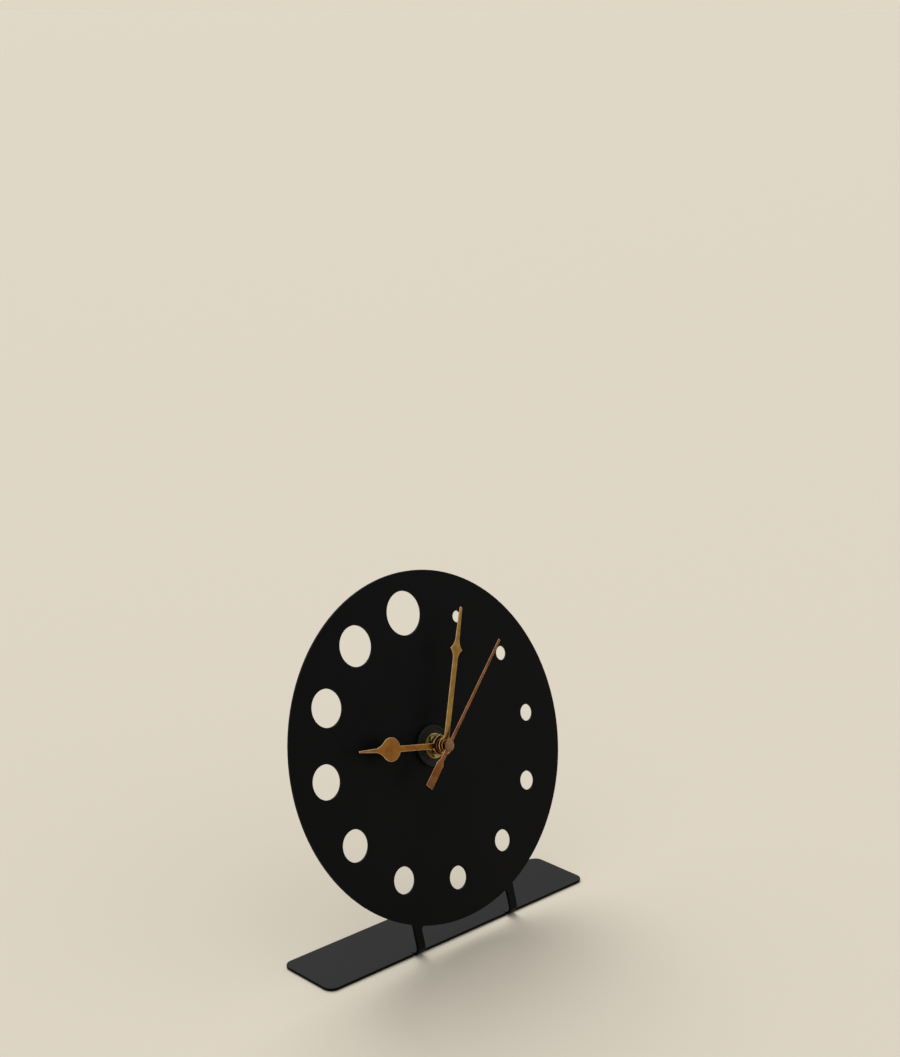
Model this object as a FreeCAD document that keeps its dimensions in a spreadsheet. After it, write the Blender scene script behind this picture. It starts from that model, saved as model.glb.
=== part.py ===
import FreeCAD, Part
import math
import os
import re

import Sketcher

# Moon phase desk clock: a dial, two legs and a base folded from one sheet of
# steel, with a quartz movement behind the dial. Z is up, the front faces -Y and
# the origin is the centre of the base's underside. All lengths are millimetres.

SIZES = {
    # Folded sheet: dial, legs and base
    "sheet_thickness": 1.5,
    "dial_radius": 87.5,
    "dial_bottom_height": 9.8233,
    "dial_lean_angle": 17.0,
    "dial_bore_radius": 4.2,
    "moon_ring_radius": 67.3,
    "moon_1_diameter": 6.0,
    "moon_2_diameter": 7.3,
    "moon_3_diameter": 8.7,
    "moon_4_diameter": 9.8,
    "moon_5_diameter": 11.0,
    "moon_6_diameter": 11.6,
    "moon_7_diameter": 13.4,
    "moon_8_diameter": 15.8,
    "moon_9_diameter": 17.0,
    "moon_10_diameter": 18.6,
    "moon_11_diameter": 20.2,
    "moon_12_diameter": 22.1,
    "base_length": 175.0,
    "base_depth": 36.0,
    "base_corner_radius": 5.0,
    "leg_spacing": 63.5,
    "leg_width": 4.8,
    "leg_root_radius": 1.5,
    "bend_inner_radius": 3.0,
    "foot_protrusion": 3.0,
    "relief_width": 0.3,
    "relief_extra_depth": 0.5,
    "leg_overlap": 6.0,
    # Fixing stack on the front of the dial
    "front_washer_radius": 10.3,
    "front_washer_thickness": 2.0,
    "front_washer_groove_inner_radius": 7.6,
    "front_washer_groove_outer_radius": 9.1,
    "front_washer_groove_depth": 0.4,
    "brass_washer_radius": 6.25,
    "brass_washer_thickness": 0.6,
    "nut_width": 10.4,
    "nut_thickness": 2.4,
    "nut_chamfer": 0.5,
    "bush_radius": 4.0,
    "bush_front_height": 5.6,
    "bush_flange_radius": 5.2,
    "bush_flange_thickness": 0.8,
    "bush_chamfer": 0.4,
    "washer_clearance": 0.1,
    # Running clearances and small allowances
    "running_clearance": 0.05,
    "clutch_clearance": 0.03,
    "wheel_gap": 0.4,
    "pinion_margin": 0.3,
    "cut_overrun": 1.0,
    # Movement case
    "case_depth": 16.0,
    "case_wall": 1.4,
    "case_corner_radius": 4.0,
    "cover_thickness": 1.2,
    "cover_lip_depth": 1.5,
    "cover_lip_wall": 1.0,
    "cover_lip_clearance": 0.15,
    "cover_edge_chamfer": 0.4,
    "divider_height": 10.6,
    "divider_wall": 1.0,
    "finger_notch_width": 20.0,
    "pivot_hole_depth": 1.0,
    "pillar_radius": 1.5,
    "pillar_pin_radius": 1.3,
    "pillar_tip_radius": 0.9,
    "pillar_tip_length": 0.4,
    "pillar_clearance": 0.1,
    # Plates that carry the train
    "plate_thickness": 0.8,
    "plate_margin": 2.6,
    "plate_front_edge_margin": 0.8,
    "bottom_pillar_x": 0.0,
    "bottom_pillar_y": -9.5,
    "stator_pillar_spacing": 16.8,
    "top_pillar_x": 4.5,
    "top_pillar_y": 14.0,
    "left_pillar_x": -13.0,
    "left_pillar_y": 14.0,
    "plate_left_corner_x": -12.0,
    "plate_left_corner_y": -3.5,
    # Train of wheels
    "wheel_thickness": 0.7,
    "third_distance": 8.5,
    "third_direction_angle": 120.0,
    "minute_wheel_distance": 9.0,
    "minute_wheel_direction_angle": 185.0,
    "intermediate_distance": 8.2,
    "intermediate_direction_angle": -20.0,
    "rotor_distance": 8.0,
    "rotor_direction_angle": 20.0,
    "knob_distance": 9.0,
    "knob_direction_angle": 155.0,
    "rotor_pinion_teeth": 8,
    "intermediate_wheel_teeth": 48,
    "intermediate_pinion_teeth": 8,
    "seconds_wheel_teeth": 40,
    "seconds_pinion_teeth": 8,
    "third_wheel_teeth": 60,
    "third_pinion_teeth": 8,
    "centre_wheel_teeth": 64,
    "cannon_pinion_teeth": 12,
    "minute_wheel_teeth": 36,
    "minute_pinion_teeth": 10,
    "hour_wheel_teeth": 40,
    "knob_pinion_teeth": 12,
    "wheel_addendum_share": 0.8,
    "pinion_addendum_share": 0.7,
    "dedendum_share": 1.1,
    "wheel_tip_share": 0.7,
    "wheel_root_share": 1.7,
    "pinion_tip_share": 0.8,
    "pinion_root_share": 1.2,
    "gap_overrun_share": 0.5,
    "train_arbor_radius": 0.4,
    "minute_wheel_arbor_radius": 0.5,
    "seconds_arbor_radius": 0.5,
    "minute_arbor_radius": 1.75,
    "hour_tube_radius": 2.5,
    "wheel_hub_radius": 3.0,
    "arbor_end_gap": 0.2,
    # Motor
    "rotor_radius": 3.0,
    "rotor_thickness": 1.8,
    "rotor_hub_radius": 0.8,
    "rotor_air_gap": 0.4,
    "rotor_chamfer": 0.2,
    "stator_thickness": 1.0,
    "stator_width": 8.0,
    "stator_boss_radius": 1.9,
    "stator_bottom_reach": 10.3,
    "stator_top_reach": 12.9,
    "stator_tab_width": 2.5,
    "coil_offset": 7.5,
    "coil_half_length": 8.6,
    "coil_core_width": 2.6,
    "coil_core_thickness": 1.0,
    "bobbin_half_width": 3.2,
    "bobbin_flange_thickness": 0.8,
    "bobbin_barrel_wall": 0.5,
    "winding_radius": 2.9,
    "core_clearance": 0.05,
    # Circuit board and contacts
    "board_height": 7.6,
    "board_end_gap": 1.4,
    "board_top_gap": 0.6,
    "board_thickness": 1.0,
    "board_depth": 7.0,
    "board_pin_radius": 0.7,
    "board_boss_radius": 1.6,
    "board_pin_spacing": 36.0,
    "chip_x": 4.0,
    "chip_radius": 2.8,
    "chip_height": 1.1,
    "crystal_x": 11.0,
    "crystal_length": 6.0,
    "crystal_radius": 1.0,
    "contact_thickness": 0.4,
    "contact_plate_height": 12.0,
    "contact_plate_width": 8.0,
    "contact_arm_width": 2.4,
    "contact_fold": 0.8,
    "leaf_reach": 1.7,
    "contact_tab_length": 4.0,
    "contact_tab_width": 2.6,
    "contact_tab_thickness": 0.3,
    "contact_slot_clearance": 0.3,
    # Battery, size AA
    "battery_radius": 7.15,
    "battery_length": 50.5,
    "battery_clearance": 0.25,
    "battery_end_clearance": 0.1,
    "battery_nub_radius": 2.75,
    "battery_nub_height": 1.3,
    "battery_edge_radius": 0.8,
    "battery_rim_height": 0.5,
    "battery_rim_radius": 5.6,
    # Setting knob
    "knob_stem_radius": 1.5,
    "knob_radius": 7.0,
    "knob_thickness": 2.6,
    "knob_gap": 0.3,
    "knob_pivot_radius": 0.7,
    "knob_grooves_count": 24,
    "knob_groove_radius": 0.45,
    "knob_chamfer": 0.4,
    "knob_collar_radius": 3.2,
    # Hands
    "hand_thickness": 0.45,
    "collet_chamfer": 0.2,
    "hour_hand_height": 7.1,
    "hour_hand_angle": 281.3,
    "hour_hand_length": 51.8,
    "hour_stem_width": 2.95,
    "hour_boss_radius": 5.2,
    "hour_collet_radius": 3.6,
    "hour_collet_neck_radius": 3.0,
    "hour_collet_back": 5.9,
    "hour_collet_front": 8.1,
    "hour_tube_height": 7.8,
    "spade_radius": 5.85,
    "spade_centre": 32.0,
    "spade_flank_angle": 48.0,
    "spade_flank_radius": 9.0,
    "spade_neck": 41.0,
    "spade_neck_width": 2.1,
    "hour_tip_width": 0.9,
    "minute_hand_height": 10.3,
    "minute_hand_angle": 23.8,
    "minute_hand_length": 69.6,
    "minute_stem_width": 3.2,
    "minute_boss_radius": 4.4,
    "minute_collet_radius": 2.9,
    "minute_collet_neck_radius": 2.3,
    "minute_collet_back": 9.0,
    "minute_collet_front": 11.1,
    "minute_arbor_height": 10.9,
    "diamond_start": 43.6,
    "diamond_widest": 48.1,
    "diamond_width": 7.9,
    "diamond_end": 54.6,
    "diamond_back_flare_radius": 6.0,
    "diamond_front_flare_radius": 8.0,
    "minute_blade_width": 2.5,
    "minute_tip_width": 1.7,
    "second_hand_height": 13.0,
    "second_hand_thickness": 0.3,
    "second_hand_angle": 47.6,
    "second_hand_length": 63.3,
    "second_stem_width": 1.75,
    "second_tip_width": 1.3,
    "second_neck_width": 2.2,
    "second_neck_length": 8.4,
    "second_tail_width": 4.4,
    "second_shoulder_length": 10.6,
    "second_tail_length": 24.1,
    "second_boss_radius": 2.6,
    "second_tube_radius": 1.1,
    "second_tube_back": 11.6,
    "second_hub_neck_radius": 0.8,
    "second_cap_radius": 3.0,
    "second_cap_height": 1.5,
    "second_cap_rim": 0.4,
    "second_arbor_height": 13.2,
}

doc = FreeCAD.newDocument("moon_phase_desk_clock")
sheet = doc.addObject("Spreadsheet::Sheet", "size")
for row, (alias, value) in enumerate(SIZES.items(), 1):
    sheet.set(f"A{row}", alias)
    sheet.set(f"B{row}", str(value))
    sheet.setAlias(f"B{row}", alias)
doc.recompute()

UP = FreeCAD.Vector(0, 0, 1)
PARTS = []


# Expressions: a size's name stands for its cell in the sheet

def sized(text):
    return re.sub(r"[a-z]\w+", lambda word: "size." + word[0] if word[0] in SIZES else word[0], text)


def number(text):
    found = sheet.evalExpression(sized(text))
    return float(getattr(found, "Value", found))


def bind(item, name, text):
    item.setExpression(name, sized(text))


def place(x="0", y="0", z="0", turn="0", axis="vector(0; 0; 1)"):
    return f"placement(vector({x}; {y}; {z}); rotation({axis}; {turn}))"


# Places that the pieces share. Heights are measured along the arbors from the
# dial's front face, positive towards the viewer.

BEND_OUTER = "(bend_inner_radius + sheet_thickness)"
BASE_FRONT = "(-base_depth / 2)"
BEND_Y = f"({BASE_FRONT} - foot_protrusion + {BEND_OUTER})"
LEG_TANGENT_Y = f"({BEND_Y} - {BEND_OUTER} * cos(dial_lean_angle))"
LEG_TANGENT_Z = f"({BEND_OUTER} * (1 + sin(dial_lean_angle)))"
DIAL_HEIGHT = "(dial_bottom_height + dial_radius * cos(dial_lean_angle))"
DIAL_Y = f"({LEG_TANGENT_Y} + ({DIAL_HEIGHT} - {LEG_TANGENT_Z}) * tan(dial_lean_angle))"
DIAL = place("0", DIAL_Y, DIAL_HEIGHT, "90 - dial_lean_angle", "vector(1; 0; 0)")

CASE_FRONT = "(-sheet_thickness)"
CASE_FLOOR = f"({CASE_FRONT} - case_wall)"
CASE_BACK = f"({CASE_FRONT} - case_depth)"
COVER_SEAT = f"({CASE_BACK} + cover_thickness)"
INNER_HALF = "((battery_length + leaf_reach) / 2 + battery_end_clearance + contact_thickness)"
CASE_HALF = f"({INNER_HALF} + case_wall)"
DIVIDER_TOP = "(-divider_height)"
DIVIDER_BOTTOM = "(-divider_height - divider_wall)"

HOUR_WHEEL_FRONT = f"({CASE_FLOOR} - wheel_gap)"
HOUR_WHEEL_BACK = f"({HOUR_WHEEL_FRONT} - wheel_thickness)"
CANNON_FRONT = f"({HOUR_WHEEL_BACK} - wheel_gap)"
MINUTE_WHEEL_FRONT = f"({CANNON_FRONT} - pinion_margin)"
MINUTE_WHEEL_BACK = f"({MINUTE_WHEEL_FRONT} - wheel_thickness)"
CANNON_BACK = f"({MINUTE_WHEEL_BACK} - pinion_margin)"
CENTRE_WHEEL_FRONT = f"({CANNON_BACK} - wheel_gap)"
CENTRE_WHEEL_BACK = f"({CENTRE_WHEEL_FRONT} - wheel_thickness)"
MIDDLE_PLATE_FRONT = f"({CENTRE_WHEEL_BACK} - wheel_gap)"
MIDDLE_PLATE_BACK = f"({MIDDLE_PLATE_FRONT} - plate_thickness)"
THIRD_WHEEL_FRONT = f"({MIDDLE_PLATE_BACK} - wheel_gap)"
THIRD_WHEEL_BACK = f"({THIRD_WHEEL_FRONT} - wheel_thickness)"
SECONDS_WHEEL_FRONT = f"({THIRD_WHEEL_BACK} - wheel_gap)"
SECONDS_WHEEL_BACK = f"({SECONDS_WHEEL_FRONT} - wheel_thickness)"
INTERMEDIATE_FRONT = f"({SECONDS_WHEEL_BACK} - wheel_gap)"
INTERMEDIATE_BACK = f"({INTERMEDIATE_FRONT} - wheel_thickness)"
REAR_PLATE_FRONT = f"({INTERMEDIATE_BACK} - wheel_gap)"
REAR_PLATE_BACK = f"({REAR_PLATE_FRONT} - plate_thickness)"
PILLAR_END = f"({REAR_PLATE_BACK} - pillar_tip_length)"
MAGNET_FRONT = f"({MIDDLE_PLATE_BACK} - wheel_gap)"
MAGNET_BACK = f"({MAGNET_FRONT} - rotor_thickness)"
STATOR_FRONT = f"(({MAGNET_FRONT} + {MAGNET_BACK} + stator_thickness) / 2)"
STATOR_BACK = f"({STATOR_FRONT} - stator_thickness)"
CORE_BACK = f"({STATOR_BACK} - coil_core_thickness)"
COIL_Z = f"({STATOR_BACK} - coil_core_thickness / 2)"
BOARD_FRONT = f"({CASE_FRONT} - board_depth)"
BOARD_BACK = f"({BOARD_FRONT} - board_thickness)"
BOARD_HALF = f"({INNER_HALF} - board_end_gap)"
BOARD_HIGH = f"({INNER_HALF} - board_top_gap)"
BOARD_LOW = f"({BOARD_HIGH} - board_height)"
BOARD_Y = f"(({BOARD_LOW} + {BOARD_HIGH}) / 2)"
BATTERY_Y = f"(({DIVIDER_BOTTOM} - {INNER_HALF}) / 2)"
BATTERY_Z = f"({CASE_FLOOR} - battery_clearance - battery_radius)"
KNOB_FRONT = f"({CASE_BACK} - knob_gap)"
KNOB_BACK = f"({KNOB_FRONT} - knob_thickness)"

THIRD_X = "(third_distance * cos(third_direction_angle))"
THIRD_Y = "(third_distance * sin(third_direction_angle))"
MINUTE_X = "(minute_wheel_distance * cos(minute_wheel_direction_angle))"
MINUTE_Y = "(minute_wheel_distance * sin(minute_wheel_direction_angle))"
INTERMEDIATE_X = "(intermediate_distance * cos(intermediate_direction_angle))"
INTERMEDIATE_Y = "(intermediate_distance * sin(intermediate_direction_angle))"
ROTOR_X = f"({INTERMEDIATE_X} + rotor_distance * cos(rotor_direction_angle))"
ROTOR_Y = f"({INTERMEDIATE_Y} + rotor_distance * sin(rotor_direction_angle))"
KNOB_X = f"({MINUTE_X} + knob_distance * cos(knob_direction_angle))"
KNOB_Y = f"({MINUTE_Y} + knob_distance * sin(knob_direction_angle))"
COIL_X = f"({ROTOR_X} + coil_offset)"
PILLARS = {
    "bottom": ("bottom_pillar_x", "bottom_pillar_y"),
    "stator_low": (ROTOR_X, f"({ROTOR_Y} - stator_pillar_spacing / 2)"),
    "stator_high": (ROTOR_X, f"({ROTOR_Y} + stator_pillar_spacing / 2)"),
    "top": ("top_pillar_x", "top_pillar_y"),
    "left": ("left_pillar_x", "left_pillar_y"),
}
BOARD_PINS = [("(-board_pin_spacing / 2)", BOARD_Y), ("(board_pin_spacing / 2)", BOARD_Y)]


# Sketches: each point is tied to the sheet by its distances from the origin

def new_body(name, placing=None):
    body = doc.addObject("PartDesign::Body", name)
    body.Label = name
    if placing:
        bind(body, "Placement", placing)
    PARTS.append(body)
    return body


def origin_feature(body, role):
    return next(item for item in body.Origin.OriginFeatures if item.Role == role)


def sketch(body, offset=None, plane="XY_Plane"):
    plan = body.newObject("Sketcher::SketchObject", f"{body.Name}_sketch")
    plan.AttachmentSupport = [(origin_feature(body, plane), "")]
    plan.MapMode = "FlatFace"
    if offset:
        bind(plan, "AttachmentOffset", offset)
    return plan


def datum(plan, kind, parts, text):
    index = plan.addConstraint(Sketcher.Constraint(kind, *parts, number(text)))
    plan.setExpression(f"Constraints[{index}]", sized(text))


def fix_point(plan, item, end, x, y):
    for kind, axis, text in (("DistanceX", -2, x), ("DistanceY", -1, y)):
        size = number(text)
        if abs(size) < 1e-9:
            plan.addConstraint(Sketcher.Constraint("PointOnObject", item, end, axis))
        elif size > 0:
            datum(plan, kind, (-1, 1, item, end), text)
        else:
            datum(plan, kind, (item, end, -1, 1), f"-({text})")


def circle(plan, radius, x="0", y="0"):
    centre = FreeCAD.Vector(number(x), number(y), 0)
    item = plan.addGeometry(Part.Circle(centre, UP, number(radius)))
    fix_point(plan, item, 3, x, y)
    datum(plan, "Radius", (item,), radius)


def outline(plan, points):
    """Closed outline. A point is (x, y), or (x, y, radius) where an arc of that radius
    runs on to the next point: turning left where the radius is positive."""
    spots = [FreeCAD.Vector(number(point[0]), number(point[1]), 0) for point in points]
    ends = []
    for index, point in enumerate(points):
        start, stop = spots[index], spots[(index + 1) % len(spots)]
        if len(point) == 2:
            item = plan.addGeometry(Part.LineSegment(start, stop))
            ends.append((item, 1, 2))
            continue
        radius = number(point[2])
        chord = stop - start
        side = FreeCAD.Vector(-chord.y, chord.x, 0).normalize() * math.copysign(1, radius)
        rise = math.sqrt(max(radius ** 2 - chord.Length ** 2 / 4, 0))
        centre = (start + stop) / 2 + side * rise
        first, last = (start, stop) if radius > 0 else (stop, start)
        angles = [math.atan2(spot.y - centre.y, spot.x - centre.x) for spot in (first, last)]
        arc = Part.ArcOfCircle(Part.Circle(centre, UP, abs(radius)), *angles)
        item = plan.addGeometry(arc)
        ends.append((item, 1, 2) if radius > 0 else (item, 2, 1))
    for index, point in enumerate(points):
        item, start, _ = ends[index]
        before, _, stop = ends[index - 1]
        plan.addConstraint(Sketcher.Constraint("Coincident", before, stop, item, start))
        fix_point(plan, item, start, point[0], point[1])
        if len(point) == 3:
            radius = point[2] if number(point[2]) > 0 else f"-({point[2]})"
            datum(plan, "Radius", (item,), radius)


def rectangle(plan, left, low, right, high):
    outline(plan, [(left, low), (right, low), (right, high), (left, high)])


def rounded_rectangle(plan, left, low, right, high, radius):
    inner_left, inner_right = f"({left} + {radius})", f"({right} - {radius})"
    inner_low, inner_high = f"({low} + {radius})", f"({high} - {radius})"
    outline(plan, [
        (inner_left, low), (inner_right, low, radius),
        (right, inner_low), (right, inner_high, radius),
        (inner_right, high), (inner_left, high, radius),
        (left, inner_high), (left, inner_low, radius),
    ])


# Features

def at_height(height, frame=None, turn="0"):
    offset = place("0", "0", height, turn)
    return f"{frame} * {offset}" if frame else offset


def add(body, low, high, draw, frame=None, turn="0", plane="XY_Plane"):
    plan = sketch(body, at_height(low, frame, turn), plane)
    draw(plan)
    pad = body.newObject("PartDesign::Pad", f"{body.Name}_pad")
    pad.Profile = plan
    bind(pad, "Length", f"{high} - {low}")
    return pad


def cut(body, low, high, draw, frame=None, turn="0", plane="XY_Plane"):
    plan = sketch(body, at_height(high, frame, turn), plane)
    draw(plan)
    pocket = body.newObject("PartDesign::Pocket", f"{body.Name}_pocket")
    pocket.Profile = plan
    bind(pocket, "Length", f"{high} - {low}")
    return pocket


def turned(body, points, kind="PartDesign::Revolution", axis="V_Axis", plane="XZ_Plane"):
    plan = sketch(body, plane=plane)
    outline(plan, points)
    feature = body.newObject(kind, f"{body.Name}_turned")
    feature.Profile = plan
    feature.ReferenceAxis = (plan, [axis])
    feature.Angle = 360
    return feature


def repeat_round(body, feature, count):
    pattern = body.newObject("PartDesign::PolarPattern", f"{body.Name}_pattern")
    pattern.Originals = [feature]
    pattern.Axis = (origin_feature(body, "Z_Axis"), [""])
    pattern.Angle = 360
    bind(pattern, "Occurrences", count)
    body.Tip = pattern
    return pattern


def gear(body, kind, teeth, mate_teeth, distance, low, high, turn):
    """A toothed disc. Its module follows from the distance to its mate, and the gap
    between two teeth lies at the angle turn."""
    module = f"(2 * {distance} / ({teeth} + {mate_teeth}))"
    outer = f"({module} * ({teeth} / 2 + {kind}_addendum_share))"
    root = f"({module} * ({teeth} / 2 - dedendum_share))"
    tip_angle = f"(180 / {teeth} - 90 / pi * {kind}_tip_share * {module} / {outer})"
    root_angle = f"(180 / {teeth} - 90 / pi * {kind}_root_share * {module} / {root})"
    tip_x, tip_y = f"({outer} * sin({tip_angle}))", f"({outer} * cos({tip_angle}))"
    root_x, root_y = f"({root} * sin({root_angle}))", f"({root} * cos({root_angle}))"
    far_x = f"({tip_x} + gap_overrun_share * ({tip_x} - {root_x}))"
    far_y = f"({tip_y} + gap_overrun_share * ({tip_y} - {root_y}))"
    gap = [(f"-{root_x}", root_y), (root_x, root_y), (far_x, far_y), (f"-{far_x}", far_y)]
    add(body, low, high, lambda plan: circle(plan, outer))
    pocket = cut(body, low, high, lambda plan: outline(plan, gap), turn=f"{turn} - 90")
    repeat_round(body, pocket, teeth)


def tooth_at(angle, teeth):
    return f"({angle} + 180 / {teeth})"


def ring(body, low, high, outer, inner=None, x="0", y="0"):
    def draw(plan):
        circle(plan, outer, x, y)
        if inner:
            circle(plan, inner, x, y)
    return add(body, low, high, draw)


def chamfer_rear_face(body, size):
    doc.recompute()
    tip = body.Tip
    faces = tip.Shape.Faces
    rear = min(range(len(faces)), key=lambda index: faces[index].CenterOfMass.z)
    chamfer = body.newObject("PartDesign::Chamfer", f"{body.Name}_chamfer")
    chamfer.Base = (tip, [f"Face{rear + 1}"])
    bind(chamfer, "Size", size)


def bore(body, low, high, radius, spots=(("0", "0"),), frame=None):
    def draw(plan):
        for x, y in spots:
            circle(plan, radius, x, y)
    return cut(body, low, high, draw, frame)


# The folded sheet

def dial_stand():
    body = new_body("dial_stand")

    def base(plan):
        rounded_rectangle(plan, "-base_length / 2", BASE_FRONT, "base_length / 2", "base_depth / 2",
                          "base_corner_radius")

    def reliefs(plan):
        half = "(leg_width / 2 + relief_width)"
        for side in ("-leg_spacing / 2", "leg_spacing / 2"):
            rectangle(plan, f"({side} - {half})", f"({BASE_FRONT} - cut_overrun)",
                      f"({side} + {half})", f"({BEND_Y} + relief_extra_depth)")

    add(body, "0", "sheet_thickness", base)
    cut(body, "0", "sheet_thickness", reliefs)
    add(body, "-sheet_thickness", "0", lambda plan: circle(plan, "dial_radius"), DIAL)

    rise = "(dial_bottom_height + leg_overlap)"
    front_y = f"({LEG_TANGENT_Y} + ({rise} - {LEG_TANGENT_Z}) * tan(dial_lean_angle))"
    back_y = f"({front_y} + sheet_thickness * cos(dial_lean_angle))"
    back_z = f"({rise} - sheet_thickness * sin(dial_lean_angle))"
    inner_y = f"({BEND_Y} - bend_inner_radius * cos(dial_lean_angle))"
    inner_z = f"({BEND_OUTER} + bend_inner_radius * sin(dial_lean_angle))"
    side = [
        (f"({BEND_Y} + leg_overlap)", "0"),
        (f"({BEND_Y} + leg_overlap)", "sheet_thickness"),
        (BEND_Y, "sheet_thickness", "-bend_inner_radius"),
        (inner_y, inner_z),
        (back_y, back_z),
        (front_y, rise),
        (LEG_TANGENT_Y, LEG_TANGENT_Z, BEND_OUTER),
        (BEND_Y, "0"),
    ]
    for centre in ("-leg_spacing / 2", "leg_spacing / 2"):
        add(body, f"({centre} - leg_width / 2)", f"({centre} + leg_width / 2)",
            lambda plan: outline(plan, side), plane="YZ_Plane")

    def holes(plan):
        circle(plan, "dial_bore_radius")
        for hour in range(1, 13):
            circle(plan, f"moon_{hour}_diameter / 2",
                   f"(moon_ring_radius * sin({hour} * 30))", f"(moon_ring_radius * cos({hour} * 30))")

    cut(body, "-sheet_thickness", "0", holes, DIAL)
    doc.recompute()
    rim = "sqrt(dial_radius ^ 2 - (leg_spacing / 2 {} leg_width / 2) ^ 2)"
    frame = FreeCAD.Placement(body.Placement)
    frame.Base = FreeCAD.Vector(0, number(DIAL_Y), number(DIAL_HEIGHT))
    frame.Rotation = FreeCAD.Rotation(FreeCAD.Vector(1, 0, 0), 90 - SIZES["dial_lean_angle"])
    roots = []
    for mirror in (-1, 1):
        for sign in ("-", "+"):
            x = mirror * number(f"leg_spacing / 2 {sign} leg_width / 2")
            spot = frame.multVec(FreeCAD.Vector(x, -number(rim.format(sign)), number("-sheet_thickness / 2")))
            edges = body.Shape.Edges
            nearest = min(range(len(edges)), key=lambda index: (edges[index].CenterOfMass - spot).Length)
            roots.append(f"Edge{nearest + 1}")
    fillet = body.newObject("PartDesign::Fillet", "leg_roots")
    fillet.Base = (fillet.BaseFeature, roots)
    bind(fillet, "Radius", "leg_root_radius")


# The fixing stack on the front of the dial

def front_washer():
    body = new_body("rubber_washer", DIAL)
    inner = "(bush_radius + washer_clearance)"
    floor = "(front_washer_thickness - front_washer_groove_depth)"
    turned(body, [
        (inner, "0"), ("front_washer_radius", "0"),
        ("front_washer_radius", floor),
        ("(front_washer_radius - front_washer_groove_depth)", "front_washer_thickness"),
        ("front_washer_groove_outer_radius", "front_washer_thickness"),
        ("front_washer_groove_outer_radius", floor),
        ("front_washer_groove_inner_radius", floor),
        ("front_washer_groove_inner_radius", "front_washer_thickness"),
        (inner, "front_washer_thickness"),
    ])


def brass_washer():
    body = new_body("brass_washer", DIAL)
    ring(body, "front_washer_thickness", "(front_washer_thickness + brass_washer_thickness)",
         "brass_washer_radius", "bush_radius + washer_clearance")


def hex_nut():
    body = new_body("hex_nut", DIAL)
    back = "(front_washer_thickness + brass_washer_thickness)"
    front = f"({back} + nut_thickness)"
    corner = "(nut_width / 2 / cos(30))"
    corners = [(f"({corner} * cos({angle}))", f"({corner} * sin({angle}))") for angle in range(0, 360, 60)]
    add(body, back, front, lambda plan: outline(plan, corners))
    bore(body, back, front, "bush_radius")
    turned(body, [
        (corner, f"({front} - nut_chamfer)"),
        (f"({corner} + cut_overrun)", f"({front} - nut_chamfer)"),
        (f"({corner} + cut_overrun)", f"({front} + cut_overrun)"),
        ("(nut_width / 2)", f"({front} + cut_overrun)"),
        ("(nut_width / 2)", front),
    ], "PartDesign::Groove")


def threaded_bush():
    body = new_body("threaded_bush", DIAL)
    hole = "(hour_tube_radius + running_clearance)"
    flange = f"({CASE_FLOOR} + bush_flange_thickness)"
    turned(body, [
        (hole, CASE_FLOOR), ("bush_flange_radius", CASE_FLOOR), ("bush_flange_radius", flange),
        ("bush_radius", flange), ("bush_radius", "(bush_front_height - bush_chamfer)"),
        ("(bush_radius - bush_chamfer)", "bush_front_height"), (hole, "bush_front_height"),
    ])


# The movement's case

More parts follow.
